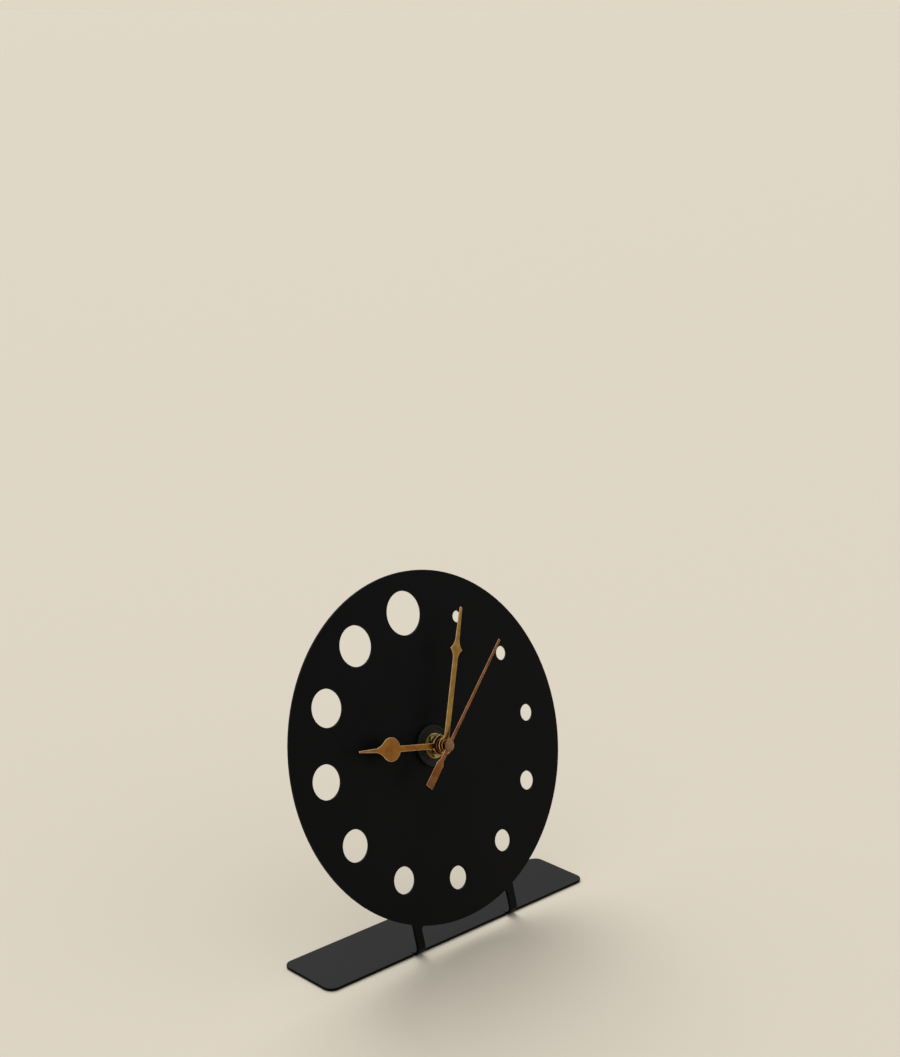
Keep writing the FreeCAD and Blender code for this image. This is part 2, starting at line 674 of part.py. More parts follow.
def movement_case():
    body = new_body("movement_case", DIAL)
    slot = "(contact_thickness + contact_slot_clearance)"
    arm_front = f"({BOARD_BACK} + contact_arm_width / 2 + contact_slot_clearance)"
    add(body, CASE_BACK, CASE_FRONT, lambda plan: rounded_rectangle(
        plan, f"-{CASE_HALF}", f"-{CASE_HALF}", CASE_HALF, CASE_HALF, "case_corner_radius"))
    cut(body, CASE_BACK, CASE_FLOOR, lambda plan: rectangle(
        plan, f"-{INNER_HALF}", DIVIDER_TOP, INNER_HALF, INNER_HALF))
    cut(body, CASE_BACK, CASE_FLOOR, lambda plan: rectangle(
        plan, f"-{INNER_HALF}", f"-{INNER_HALF}", INNER_HALF, DIVIDER_BOTTOM))
    cut(body, CASE_BACK, COVER_SEAT, lambda plan: rectangle(
        plan, f"(-{CASE_HALF} - cut_overrun)", DIVIDER_BOTTOM,
        f"({CASE_HALF} + cut_overrun)", f"({CASE_HALF} + cut_overrun)"))
    cut(body, CASE_BACK, BATTERY_Z, lambda plan: rectangle(
        plan, "-finger_notch_width / 2", f"(-{CASE_HALF} - cut_overrun)",
        "finger_notch_width / 2", f"-{INNER_HALF}"))

    def contact_slots(plan):
        rectangle(plan, f"-{INNER_HALF}", DIVIDER_BOTTOM, f"(-{INNER_HALF} + {slot})", DIVIDER_TOP)
        rectangle(plan, f"({INNER_HALF} - {slot})", DIVIDER_BOTTOM, INNER_HALF, DIVIDER_TOP)

    cut(body, COVER_SEAT, arm_front, contact_slots)
    bore(body, CASE_FLOOR, CASE_FRONT, "bush_radius")
    bore(body, CASE_FLOOR, f"({CASE_FLOOR} + bush_flange_thickness)", "bush_flange_radius")

    def posts(radius, spots):
        def draw(plan):
            for x, y in spots:
                circle(plan, radius, x, y)
        return draw

    pillars = list(PILLARS.values())
    add(body, MIDDLE_PLATE_FRONT, CASE_FLOOR, posts("pillar_radius", pillars))
    add(body, REAR_PLATE_FRONT, MIDDLE_PLATE_FRONT, posts("pillar_pin_radius", pillars))
    add(body, PILLAR_END, REAR_PLATE_FRONT, posts("pillar_tip_radius", pillars))
    add(body, BOARD_FRONT, CASE_FLOOR, posts("board_boss_radius", BOARD_PINS))
    add(body, f"({BOARD_BACK} - pillar_tip_length)", BOARD_FRONT, posts("board_pin_radius", BOARD_PINS))
    pivot_top = f"({CASE_FLOOR} + pivot_hole_depth)"
    bore(body, CASE_FLOOR, pivot_top, "train_arbor_radius + running_clearance", [(THIRD_X, THIRD_Y)])
    bore(body, CASE_FLOOR, pivot_top, "minute_wheel_arbor_radius + running_clearance",
         [(MINUTE_X, MINUTE_Y)])
    bore(body, CASE_FLOOR, pivot_top, "knob_pivot_radius + running_clearance", [(KNOB_X, KNOB_Y)])


def rear_cover():
    body = new_body("rear_cover", DIAL)
    lip = f"({INNER_HALF} - cover_lip_clearance)"
    lip_low = f"({DIVIDER_TOP} + cover_lip_clearance)"
    lip_front = f"({COVER_SEAT} + cover_lip_depth)"
    corner = "case_corner_radius"
    add(body, CASE_BACK, COVER_SEAT, lambda plan: outline(plan, [
        (f"-{CASE_HALF}", DIVIDER_BOTTOM), (CASE_HALF, DIVIDER_BOTTOM),
        (CASE_HALF, f"({CASE_HALF} - {corner})", corner),
        (f"({CASE_HALF} - {corner})", CASE_HALF),
        (f"(-{CASE_HALF} + {corner})", CASE_HALF, corner),
        (f"-{CASE_HALF}", f"({CASE_HALF} - {corner})"),
    ]))

    def lip_ring(plan):
        rectangle(plan, f"-{lip}", lip_low, lip, lip)
        rectangle(plan, f"(-{lip} + cover_lip_wall)", f"({lip_low} + cover_lip_wall)",
                  f"({lip} - cover_lip_wall)", f"({lip} - cover_lip_wall)")

    add(body, COVER_SEAT, lip_front, lip_ring)
    stem_hole = "knob_stem_radius + running_clearance"
    ring(body, COVER_SEAT, lip_front, "knob_collar_radius", None, KNOB_X, KNOB_Y)
    bore(body, CASE_BACK, lip_front, stem_hole, [(KNOB_X, KNOB_Y)])
    chamfer_rear_face(body, "cover_edge_chamfer")


# The plates between which the wheels turn

def plate_outline():
    margin, edge = "plate_margin", "plate_front_edge_margin"
    bottom_x, bottom_y = PILLARS["bottom"]
    stator_x, high_y = PILLARS["stator_high"]
    top_x, top_y = PILLARS["top"]
    left_x, left_y = PILLARS["left"]
    return [
        (f"({bottom_x} - {margin})", f"({bottom_y} - {edge})"),
        (f"({stator_x} + {margin})", f"({bottom_y} - {edge})"),
        (f"({stator_x} + {margin})", f"({high_y} + {margin})"),
        (f"({top_x} + {margin})", f"({top_y} + {margin})"),
        (f"({left_x} - {margin})", f"({left_y} + {margin})"),
        (f"({left_x} - {margin})", f"({left_y} - {margin})"),
        ("plate_left_corner_x", "plate_left_corner_y"),
    ]


def middle_plate():
    body = new_body("middle_plate", DIAL)
    low, high = MIDDLE_PLATE_BACK, MIDDLE_PLATE_FRONT
    add(body, low, high, lambda plan: outline(plan, plate_outline()))
    for name in ("stator_low", "stator_high"):
        ring(body, STATOR_FRONT, low, "stator_boss_radius", None, *PILLARS[name])
    bore(body, STATOR_FRONT, high, "pillar_pin_radius + pillar_clearance", PILLARS.values())
    bore(body, low, high, "minute_arbor_radius + running_clearance")
    third_module = "(2 * third_distance / (third_pinion_teeth + centre_wheel_teeth))"
    pinion_tip = f"{third_module} * (third_pinion_teeth / 2 + pinion_addendum_share)"
    bore(body, low, high, f"{pinion_tip} + wheel_gap", [(THIRD_X, THIRD_Y)])
    bore(body, low, high, "minute_wheel_arbor_radius + running_clearance", [(MINUTE_X, MINUTE_Y)])
    bore(body, low, high, "train_arbor_radius + running_clearance",
         [(ROTOR_X, ROTOR_Y), (INTERMEDIATE_X, INTERMEDIATE_Y)])


def rear_plate():
    body = new_body("rear_plate", DIAL)
    low, high = REAR_PLATE_BACK, REAR_PLATE_FRONT
    add(body, low, high, lambda plan: outline(plan, plate_outline()))
    bore(body, low, high, "pillar_tip_radius + pillar_clearance", PILLARS.values())
    bore(body, low, high, "seconds_arbor_radius + running_clearance")
    bore(body, low, high, "train_arbor_radius + running_clearance",
         [(ROTOR_X, ROTOR_Y), (INTERMEDIATE_X, INTERMEDIATE_Y), (THIRD_X, THIRD_Y)])


# The stepping motor

def stator():
    body = new_body("stator", DIAL)
    left, right = f"({ROTOR_X} - stator_width / 2)", f"({ROTOR_X} + stator_width / 2)"
    far = f"({COIL_X} + coil_core_width / 2)"
    low, high = f"({ROTOR_Y} - stator_bottom_reach)", f"({ROTOR_Y} + stator_top_reach)"
    low_in, high_in = f"({low} + stator_tab_width)", f"({high} - stator_tab_width)"
    add(body, STATOR_BACK, STATOR_FRONT, lambda plan: outline(plan, [
        (left, low), (far, low), (far, low_in), (right, low_in),
        (right, high_in), (far, high_in), (far, high), (left, high),
    ]))
    bore(body, STATOR_BACK, STATOR_FRONT, "rotor_radius + rotor_air_gap", [(ROTOR_X, ROTOR_Y)])
    bore(body, STATOR_BACK, STATOR_FRONT, "pillar_pin_radius + pillar_clearance",
         [PILLARS["stator_low"], PILLARS["stator_high"]])


def coil_core():
    body = new_body("coil_core", DIAL)
    add(body, CORE_BACK, STATOR_BACK, lambda plan: rectangle(
        plan, f"({COIL_X} - coil_core_width / 2)", f"({ROTOR_Y} - stator_bottom_reach)",
        f"({COIL_X} + coil_core_width / 2)", f"({ROTOR_Y} + stator_top_reach)"))


COIL_MIDDLE_Y = f"({ROTOR_Y} + (stator_top_reach - stator_bottom_reach) / 2)"
COIL = f"{DIAL} * {place(COIL_X, COIL_MIDDLE_Y, COIL_Z, '-90', 'vector(1; 0; 0)')}"
CORE_HALF_WIDTH = "(coil_core_width / 2 + core_clearance)"
CORE_HALF_THICKNESS = "(coil_core_thickness / 2 + core_clearance)"
BARREL_HALF_WIDTH = f"({CORE_HALF_WIDTH} + bobbin_barrel_wall)"
BARREL_HALF_THICKNESS = f"({CORE_HALF_THICKNESS} + bobbin_barrel_wall)"


def centred_rectangle(plan, half_width, half_height):
    rectangle(plan, f"-{half_width}", f"-{half_height}", half_width, half_height)


def coil_bobbin():
    body = new_body("coil_bobbin", COIL)
    inner = "(coil_half_length - bobbin_flange_thickness)"
    add(body, "-coil_half_length", "coil_half_length", lambda plan: centred_rectangle(
        plan, BARREL_HALF_WIDTH, BARREL_HALF_THICKNESS))
    for low, high in (("-coil_half_length", f"-{inner}"), (inner, "coil_half_length")):
        add(body, low, high, lambda plan: centred_rectangle(plan, "bobbin_half_width", "bobbin_half_width"))
    cut(body, "-coil_half_length", "coil_half_length", lambda plan: centred_rectangle(
        plan, CORE_HALF_WIDTH, CORE_HALF_THICKNESS))


def coil_winding():
    body = new_body("coil_winding", COIL)
    inner = "(coil_half_length - bobbin_flange_thickness)"

    def draw(plan):
        circle(plan, "winding_radius")
        centred_rectangle(plan, BARREL_HALF_WIDTH, BARREL_HALF_THICKNESS)

    add(body, f"-{inner}", inner, draw)


ROTOR = f"{DIAL} * {place(ROTOR_X, ROTOR_Y)}"
INTERMEDIATE = f"{DIAL} * {place(INTERMEDIATE_X, INTERMEDIATE_Y)}"
THIRD = f"{DIAL} * {place(THIRD_X, THIRD_Y)}"
MINUTE = f"{DIAL} * {place(MINUTE_X, MINUTE_Y)}"
KNOB = f"{DIAL} * {place(KNOB_X, KNOB_Y)}"
TRAIN_BACK = f"({REAR_PLATE_BACK} + arbor_end_gap / 2)"
TRAIN_FRONT = f"({MIDDLE_PLATE_FRONT} - arbor_end_gap)"
FLOOR_PIVOT = f"({CASE_FLOOR} + pivot_hole_depth - arbor_end_gap)"


def rotor_magnet():
    body = new_body("rotor_magnet", ROTOR)
    turned(body, [
        ("rotor_hub_radius", MAGNET_BACK),
        ("(rotor_radius - rotor_chamfer)", MAGNET_BACK),
        ("rotor_radius", f"({MAGNET_BACK} + rotor_chamfer)"),
        ("rotor_radius", f"({MAGNET_FRONT} - rotor_chamfer)"),
        ("(rotor_radius - rotor_chamfer)", MAGNET_FRONT),
        ("rotor_hub_radius", MAGNET_FRONT),
    ])


# The train: motor to seconds hand, then on to the minutes

def rotor_pinion():
    body = new_body("rotor_pinion", ROTOR)
    gear(body, "pinion", "rotor_pinion_teeth", "intermediate_wheel_teeth", "rotor_distance",
         f"({INTERMEDIATE_BACK} - pinion_margin)", MAGNET_BACK,
         tooth_at("rotor_direction_angle + 180", "rotor_pinion_teeth"))
    ring(body, MAGNET_BACK, MAGNET_FRONT, "rotor_hub_radius")
    ring(body, TRAIN_BACK, TRAIN_FRONT, "train_arbor_radius")


def intermediate_wheel():
    body = new_body("intermediate_wheel", INTERMEDIATE)
    gear(body, "wheel", "intermediate_wheel_teeth", "rotor_pinion_teeth", "rotor_distance",
         INTERMEDIATE_BACK, INTERMEDIATE_FRONT, "rotor_direction_angle")
    gear(body, "pinion", "intermediate_pinion_teeth", "seconds_wheel_teeth", "intermediate_distance",
         INTERMEDIATE_FRONT, f"({SECONDS_WHEEL_FRONT} + pinion_margin)",
         tooth_at("intermediate_direction_angle + 180", "intermediate_pinion_teeth"))
    ring(body, TRAIN_BACK, TRAIN_FRONT, "train_arbor_radius")


def seconds_wheel():
    body = new_body("seconds_wheel", DIAL)
    gear(body, "wheel", "seconds_wheel_teeth", "intermediate_pinion_teeth", "intermediate_distance",
         SECONDS_WHEEL_BACK, SECONDS_WHEEL_FRONT, "intermediate_direction_angle")
    gear(body, "pinion", "seconds_pinion_teeth", "third_wheel_teeth", "third_distance",
         SECONDS_WHEEL_FRONT, f"({THIRD_WHEEL_FRONT} + pinion_margin)",
         tooth_at("third_direction_angle", "seconds_pinion_teeth"))
    bore(body, SECONDS_WHEEL_BACK, f"({THIRD_WHEEL_FRONT} + pinion_margin)", "seconds_arbor_radius")


def seconds_arbor():
    body = new_body("seconds_arbor", DIAL)
    ring(body, TRAIN_BACK, "second_arbor_height", "seconds_arbor_radius")


def third_wheel():
    body = new_body("third_wheel", THIRD)
    gear(body, "wheel", "third_wheel_teeth", "seconds_pinion_teeth", "third_distance",
         THIRD_WHEEL_BACK, THIRD_WHEEL_FRONT, "third_direction_angle + 180")
    gear(body, "pinion", "third_pinion_teeth", "centre_wheel_teeth", "third_distance",
         THIRD_WHEEL_FRONT, f"({CENTRE_WHEEL_FRONT} + pinion_margin)",
         tooth_at("third_direction_angle + 180", "third_pinion_teeth"))
    ring(body, TRAIN_BACK, FLOOR_PIVOT, "train_arbor_radius")


def centre_wheel():
    body = new_body("centre_wheel", DIAL)
    margin = "pinion_margin / 2"
    gear(body, "wheel", "centre_wheel_teeth", "third_pinion_teeth", "third_distance",
         CENTRE_WHEEL_BACK, CENTRE_WHEEL_FRONT, "third_direction_angle")
    ring(body, f"({CENTRE_WHEEL_BACK} - {margin})", f"({CENTRE_WHEEL_FRONT} + {margin})", "wheel_hub_radius")
    bore(body, f"({CENTRE_WHEEL_BACK} - {margin})", f"({CENTRE_WHEEL_FRONT} + {margin})",
         "minute_arbor_radius + clutch_clearance")


# The motion work: minutes to hours, and the setting knob

def minute_arbor():
    body = new_body("minute_arbor", DIAL)
    gear(body, "pinion", "cannon_pinion_teeth", "minute_wheel_teeth", "minute_wheel_distance",
         CANNON_BACK, CANNON_FRONT, tooth_at("minute_wheel_direction_angle", "cannon_pinion_teeth"))
    ring(body, MIDDLE_PLATE_BACK, "minute_arbor_height", "minute_arbor_radius")
    bore(body, MIDDLE_PLATE_BACK, "minute_arbor_height", "seconds_arbor_radius + running_clearance")


def minute_wheel():
    body = new_body("minute_wheel", MINUTE)
    gear(body, "wheel", "minute_wheel_teeth", "cannon_pinion_teeth", "minute_wheel_distance",
         MINUTE_WHEEL_BACK, MINUTE_WHEEL_FRONT, "minute_wheel_direction_angle + 180")
    gear(body, "pinion", "minute_pinion_teeth", "hour_wheel_teeth", "minute_wheel_distance",
         MINUTE_WHEEL_FRONT, HOUR_WHEEL_FRONT,
         tooth_at("minute_wheel_direction_angle + 180", "minute_pinion_teeth"))
    ring(body, f"({MIDDLE_PLATE_BACK} + arbor_end_gap / 2)", FLOOR_PIVOT, "minute_wheel_arbor_radius")


def hour_wheel():
    body = new_body("hour_wheel", DIAL)
    gear(body, "wheel", "hour_wheel_teeth", "minute_pinion_teeth", "minute_wheel_distance",
         HOUR_WHEEL_BACK, HOUR_WHEEL_FRONT, "minute_wheel_direction_angle")
    ring(body, HOUR_WHEEL_BACK, "hour_tube_height", "hour_tube_radius")
    bore(body, HOUR_WHEEL_BACK, "hour_tube_height", "minute_arbor_radius + running_clearance")


def setting_knob():
    body = new_body("setting_knob", KNOB)
    wheel_pitch = "(360 / minute_wheel_teeth)"
    lag = f"mod(knob_direction_angle - minute_wheel_direction_angle + 180; {wheel_pitch})"
    turn = f"knob_direction_angle + 180 + {lag} * minute_wheel_teeth / knob_pinion_teeth"
    gear(body, "pinion", "knob_pinion_teeth", "minute_wheel_teeth", "knob_distance",
         CANNON_BACK, CANNON_FRONT, tooth_at(turn, "knob_pinion_teeth"))
    ring(body, CANNON_FRONT, FLOOR_PIVOT, "knob_pivot_radius")
    ring(body, KNOB_FRONT, CANNON_BACK, "knob_stem_radius")
    ring(body, KNOB_BACK, KNOB_FRONT, "knob_radius")
    chamfer_rear_face(body, "knob_chamfer")
    groove = cut(body, KNOB_BACK, KNOB_FRONT,
                 lambda plan: circle(plan, "knob_groove_radius", "0", "knob_radius"))
    repeat_round(body, groove, "knob_grooves_count")


# Circuit board, its parts and the battery's contacts

def circuit_board():
    body = new_body("circuit_board", DIAL)
    add(body, BOARD_BACK, BOARD_FRONT, lambda plan: rectangle(
        plan, f"-{BOARD_HALF}", BOARD_LOW, BOARD_HALF, BOARD_HIGH))
    bore(body, BOARD_BACK, BOARD_FRONT, "board_pin_radius + pillar_clearance", BOARD_PINS)


def driver_chip():
    body = new_body("driver_chip", f"{DIAL} * {place('chip_x', BOARD_Y, BOARD_BACK)}")
    curve = "((chip_radius ^ 2 + chip_height ^ 2) / (2 * chip_height))"
    turned(body, [("0", "0"), ("0", "-chip_height", curve), ("chip_radius", "0")])


def quartz_crystal():
    spot = place("crystal_x", BOARD_Y, f"({BOARD_BACK} - crystal_radius)")
    body = new_body("quartz_crystal", f"{DIAL} * {spot}")
    turned(body, [("0", "0"), ("crystal_length", "0"), ("crystal_length", "crystal_radius"),
                  ("0", "crystal_radius")], axis="H_Axis", plane="XY_Plane")


def span(middle, size):
    return f"({middle} - {size} / 2)", f"({middle} + {size} / 2)"


def contact(name, inner_x, outer_x, tab_left, tab_right):
    """A strip on the case's side wall: a plate at the battery's end, an arm through the
    divider and a tab on the circuit board."""
    body = new_body(name, DIAL)
    plate_back, plate_front = span(BATTERY_Z, "contact_plate_width")
    arm_back, arm_front = span(BOARD_BACK, "contact_arm_width")
    tab_low, tab_high = span(BOARD_Y, "contact_tab_width")
    plate_low, plate_high = span(BATTERY_Y, "contact_plate_height")
    add(body, inner_x, outer_x, lambda plan: outline(plan, [
        (plate_low, plate_back), (plate_high, plate_back),
        (plate_high, arm_back), (tab_high, arm_back),
        (tab_high, arm_front), (plate_high, arm_front),
        (plate_high, plate_front), (plate_low, plate_front),
    ]), plane="YZ_Plane")
    add(body, f"({BOARD_BACK} - contact_tab_thickness)", BOARD_BACK,
        lambda plan: rectangle(plan, tab_left, tab_low, tab_right, tab_high))
    return body


def positive_contact():
    inner = f"({INNER_HALF} - contact_thickness)"
    contact("positive_contact", inner, INNER_HALF, f"({inner} - contact_tab_length)", INNER_HALF)


def negative_contact():
    inner = f"(-{INNER_HALF} + contact_thickness)"
    outer, tab_end = f"-{INNER_HALF}", f"({inner} + contact_tab_length)"
    body = contact("negative_contact", outer, inner, outer, tab_end)
    low, high = span(BATTERY_Y, "contact_plate_height")
    crest = f"({BATTERY_X} - battery_length / 2 - battery_end_clearance)"
    add(body, f"({BATTERY_Z} - contact_plate_width / 2)", f"({BATTERY_Z} + contact_plate_width / 2)",
        lambda plan: outline(plan, [
            (outer, low), (inner, low), (crest, BATTERY_Y), (inner, high), (outer, high),
            (outer, f"({high} - contact_fold)"), (f"({crest} - contact_thickness)", BATTERY_Y),
            (outer, f"({low} + contact_fold)"),
        ]))


BATTERY_X = f"({INNER_HALF} - contact_thickness - battery_end_clearance - battery_length / 2)"


def battery():
    body = new_body("battery", f"{DIAL} * {place(BATTERY_X, BATTERY_Y, BATTERY_Z)}")
    left, right = "(-battery_length / 2)", "(battery_length / 2)"
    shoulder = f"({right} - battery_nub_height)"
    corner = "battery_edge_radius"
    turned(body, [
        (left, "0"), (right, "0"), (right, "battery_nub_radius"),
        (shoulder, "battery_nub_radius"),
        (shoulder, "battery_rim_radius"),
        (f"({shoulder} - battery_rim_height)", "battery_rim_radius"),
        (f"({shoulder} - battery_rim_height)", f"(battery_radius - {corner})", corner),
        (f"({shoulder} - battery_rim_height - {corner})", "battery_radius"),
        (f"({left} + {corner})", "battery_radius", corner),
        (left, f"(battery_radius - {corner})"),
    ], axis="H_Axis", plane="XY_Plane")


# The hands. Each is drawn pointing to twelve and turned to its place.

def hand_place(angle):
    return f"{DIAL} * {place(turn=f'-{angle}')}"


def mirrored_outline(right_side):
    """Outline whose right side, from the hub to the tip, is given and mirrored to the left."""
    left_side = []
    for index in range(len(right_side) - 1, -1, -1):
        x, y = right_side[index][:2]
        before = right_side[index - 1] if index else ()
        left_side.append((f"-({x})", y, before[2]) if len(before) == 3 else (f"-({x})", y))
    return list(right_side) + left_side


def hour_hand():
    body = new_body("hour_hand", hand_place("hour_hand_angle"))
    low, high = "hour_hand_height", "(hour_hand_height + hand_thickness)"
    half = "(hour_stem_width / 2)"
    flank_x = "(spade_radius * sin(spade_flank_angle))"
    flank_y = "(spade_centre + spade_radius * cos(spade_flank_angle))"
    side = [
        (half, "0"),
        (half, f"(spade_centre - sqrt(spade_radius ^ 2 - {half} ^ 2))", "spade_radius"),
        ("spade_radius", "spade_centre", "spade_radius"),
        (flank_x, flank_y, "-spade_flank_radius"),
        ("(spade_neck_width / 2)", "spade_neck"),
        ("(hour_tip_width / 2)", "hour_hand_length"),
    ]
    add(body, low, high, lambda plan: outline(plan, mirrored_outline(side)))
    ring(body, low, high, "hour_boss_radius")
    bore(body, low, high, "hour_collet_neck_radius")


def minute_hand():
    body = new_body("minute_hand", hand_place("minute_hand_angle"))
    low, high = "minute_hand_height", "(minute_hand_height + hand_thickness)"
    tip = ("0", "(minute_hand_length - minute_tip_width / 2)")
    side = [
        ("(minute_stem_width / 2)", "0"),
        ("(minute_stem_width / 2)", "diamond_start", "-diamond_back_flare_radius"),
        ("(diamond_width / 2)", "diamond_widest", "-diamond_front_flare_radius"),
        ("(minute_blade_width / 2)", "diamond_end"),
        ("(minute_tip_width / 2)", tip[1]),
    ]
    add(body, low, high, lambda plan: outline(plan, mirrored_outline(side)))
    ring(body, low, high, "(minute_tip_width / 2)", None, *tip)
    ring(body, low, high, "minute_boss_radius")
    bore(body, low, high, "minute_collet_neck_radius")


def second_hand():
    body = new_body("second_hand", hand_place("second_hand_angle"))
    low, high = "second_hand_height", "(second_hand_height + second_hand_thickness)"
    side = [
        ("(second_tail_width / 2)", "-second_tail_length"),
        ("(second_tail_width / 2)", "-second_shoulder_length"),
        ("(second_neck_width / 2)", "-second_neck_length"),
        ("(second_neck_width / 2)", "0"),
        ("(second_stem_width / 2)", "second_boss_radius"),
        ("(second_tip_width / 2)", "second_hand_length"),
    ]
    add(body, low, high, lambda plan: outline(plan, mirrored_outline(side)))
    ring(body, low, high, "second_boss_radius")
    bore(body, low, high, "second_hub_neck_radius")


def collet(hand, hole):
    """A brass collet: its flange stands behind the blade, its neck passes through, its rim holds it."""
    body = new_body(f"{hand}_hand_collet", hand_place(f"{hand}_hand_angle"))
    blade_back = f"{hand}_hand_height"
    blade_front = f"({blade_back} + hand_thickness)"
    outer, neck, front = f"{hand}_collet_radius", f"{hand}_collet_neck_radius", f"{hand}_collet_front"
    turned(body, [
        (hole, f"{hand}_collet_back"), (outer, f"{hand}_collet_back"), (outer, blade_back),
        (neck, blade_back), (neck, blade_front), (outer, blade_front),
        (outer, f"({front} - collet_chamfer)"), (f"({outer} - collet_chamfer)", front), (hole, front),
    ])


def hour_hand_collet():
    collet("hour", "hour_tube_radius")


def minute_hand_collet():
    collet("minute", "minute_arbor_radius")


def second_hand_hub():
    body = new_body("second_hand_hub", hand_place("second_hand_angle"))
    blade_front = "(second_hand_height + second_hand_thickness)"
    rim = f"({blade_front} + second_cap_rim)"
    crown = "(second_cap_height - second_cap_rim)"
    curve = f"((second_cap_radius ^ 2 + {crown} ^ 2) / (2 * {crown}))"
    hole = "seconds_arbor_radius"
    turned(body, [
        (hole, "second_tube_back"), ("second_tube_radius", "second_tube_back"),
        ("second_tube_radius", "second_hand_height"), ("second_hub_neck_radius", "second_hand_height"),
        ("second_hub_neck_radius", blade_front), ("second_cap_radius", blade_front),
        ("second_cap_radius", rim, curve), ("0", f"({blade_front} + second_cap_height)"),
        ("0", "second_arbor_height"), (hole, "second_arbor_height"),
    ])


PIECES = [
    dial_stand, front_washer, brass_washer, hex_nut, threaded_bush, movement_case, rear_cover,
    middle_plate, rear_plate, stator, coil_core, coil_bobbin, coil_winding, circuit_board, driver_chip,
    quartz_crystal, positive_contact, negative_contact, battery, rotor_magnet, rotor_pinion,
    intermediate_wheel, seconds_wheel, seconds_arbor, third_wheel, centre_wheel, minute_arbor,
    minute_wheel, hour_wheel, setting_knob, hour_hand, hour_hand_collet, minute_hand,
    minute_hand_collet, second_hand, second_hand_hub,
]
for make in PIECES:
    make()
doc.recompute()

faults = [item.Label for item in doc.Objects if {"Invalid", "Error"} & set(item.State)]
faults += [part.Label for part in PARTS if part.Shape.isNull() or not part.Shape.isValid()]
faults += [f"{part.Label} is not one solid" for part in PARTS if len(part.Shape.Solids) != 1]
if faults:
    raise RuntimeError(f"these did not build: {faults}")

os.makedirs("parts", exist_ok=True)
for part in PARTS:
    part.Shape.exportStep(f"parts/{part.Label}.step")
    print(part.Label, round(part.Shape.Volume, 2))
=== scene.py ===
"""Looks of a moon phase desk clock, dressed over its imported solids.

The clock is a dial, two legs and a base folded from one sheet of steel under black powder coat. Brass hands
turn in front of the dial and a moulded quartz movement with its battery sits behind it. Lengths are metres,
or millimetres where the name ends in _mm. Places on the dial are x to the right, y up the dial and z towards
the viewer, in millimetres from the dial's centre on its front face.
"""
import logging
import math
from collections.abc import Callable
from dataclasses import dataclass, field
from enum import Enum

import bpy
from mathutils import Euler, Matrix, Vector


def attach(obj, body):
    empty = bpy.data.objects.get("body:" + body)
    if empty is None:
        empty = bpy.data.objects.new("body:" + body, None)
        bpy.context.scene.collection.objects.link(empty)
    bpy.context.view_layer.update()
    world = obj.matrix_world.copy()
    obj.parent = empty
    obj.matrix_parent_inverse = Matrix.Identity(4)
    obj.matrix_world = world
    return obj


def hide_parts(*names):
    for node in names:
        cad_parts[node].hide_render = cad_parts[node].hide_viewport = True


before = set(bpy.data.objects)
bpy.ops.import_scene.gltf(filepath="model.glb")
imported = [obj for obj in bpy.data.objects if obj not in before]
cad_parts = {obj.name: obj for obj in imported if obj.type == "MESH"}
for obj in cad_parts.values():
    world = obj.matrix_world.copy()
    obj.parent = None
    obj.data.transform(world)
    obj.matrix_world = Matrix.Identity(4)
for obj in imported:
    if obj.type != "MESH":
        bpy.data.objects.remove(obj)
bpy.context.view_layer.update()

LOG = logging.getLogger("moon_phase_clock")
MM = 0.001
# Two directions closer than this cosine count as the same.
FLAT_COSINE = 0.995
# Points of a solid's mesh closer than this, in metres, are one point.
MERGE_DISTANCE = 2e-6
# Faces of a solid's mesh that bend by less than this are one face.
FLAT_BEND = math.radians(0.3)
DIAL_CENTRE = Vector((0.0, 6.0044, 93.5)) * MM
# The dial leans back by 17 degrees from upright.
DIAL_TURN = math.radians(90.0 - 17.0)
DIAL_FRAME = Matrix.Translation(DIAL_CENTRE) @ Matrix.Rotation(DIAL_TURN, 4, "X")

Node = bpy.types.Node
Socket = bpy.types.NodeSocket
Piece = bpy.types.Object


class Part(Enum):
    """What is selected in edit mode."""

    FACES = "FACE"
    POINTS = "VERT"


class Grain(Enum):
    """How the marks of making run over a metal surface."""

    TURNED = "rings round the arbor"
    STRAIGHT = "lines along the hand"
    ROLLED = "lines across the dial"


def linear(code: str) -> tuple[float, float, float, float]:
    """Turns an sRGB hex colour into linear values.

    Args:
        code: six hex digits after a hash.

    Returns:
        Red, green, blue and an alpha of one.
    """
    values = [int(code[at:at + 2], 16) / 255 for at in (1, 3, 5)]
    return (*(v / 12.92 if v <= 0.04045 else ((v + 0.055) / 1.055) ** 2.4 for v in values), 1.0)


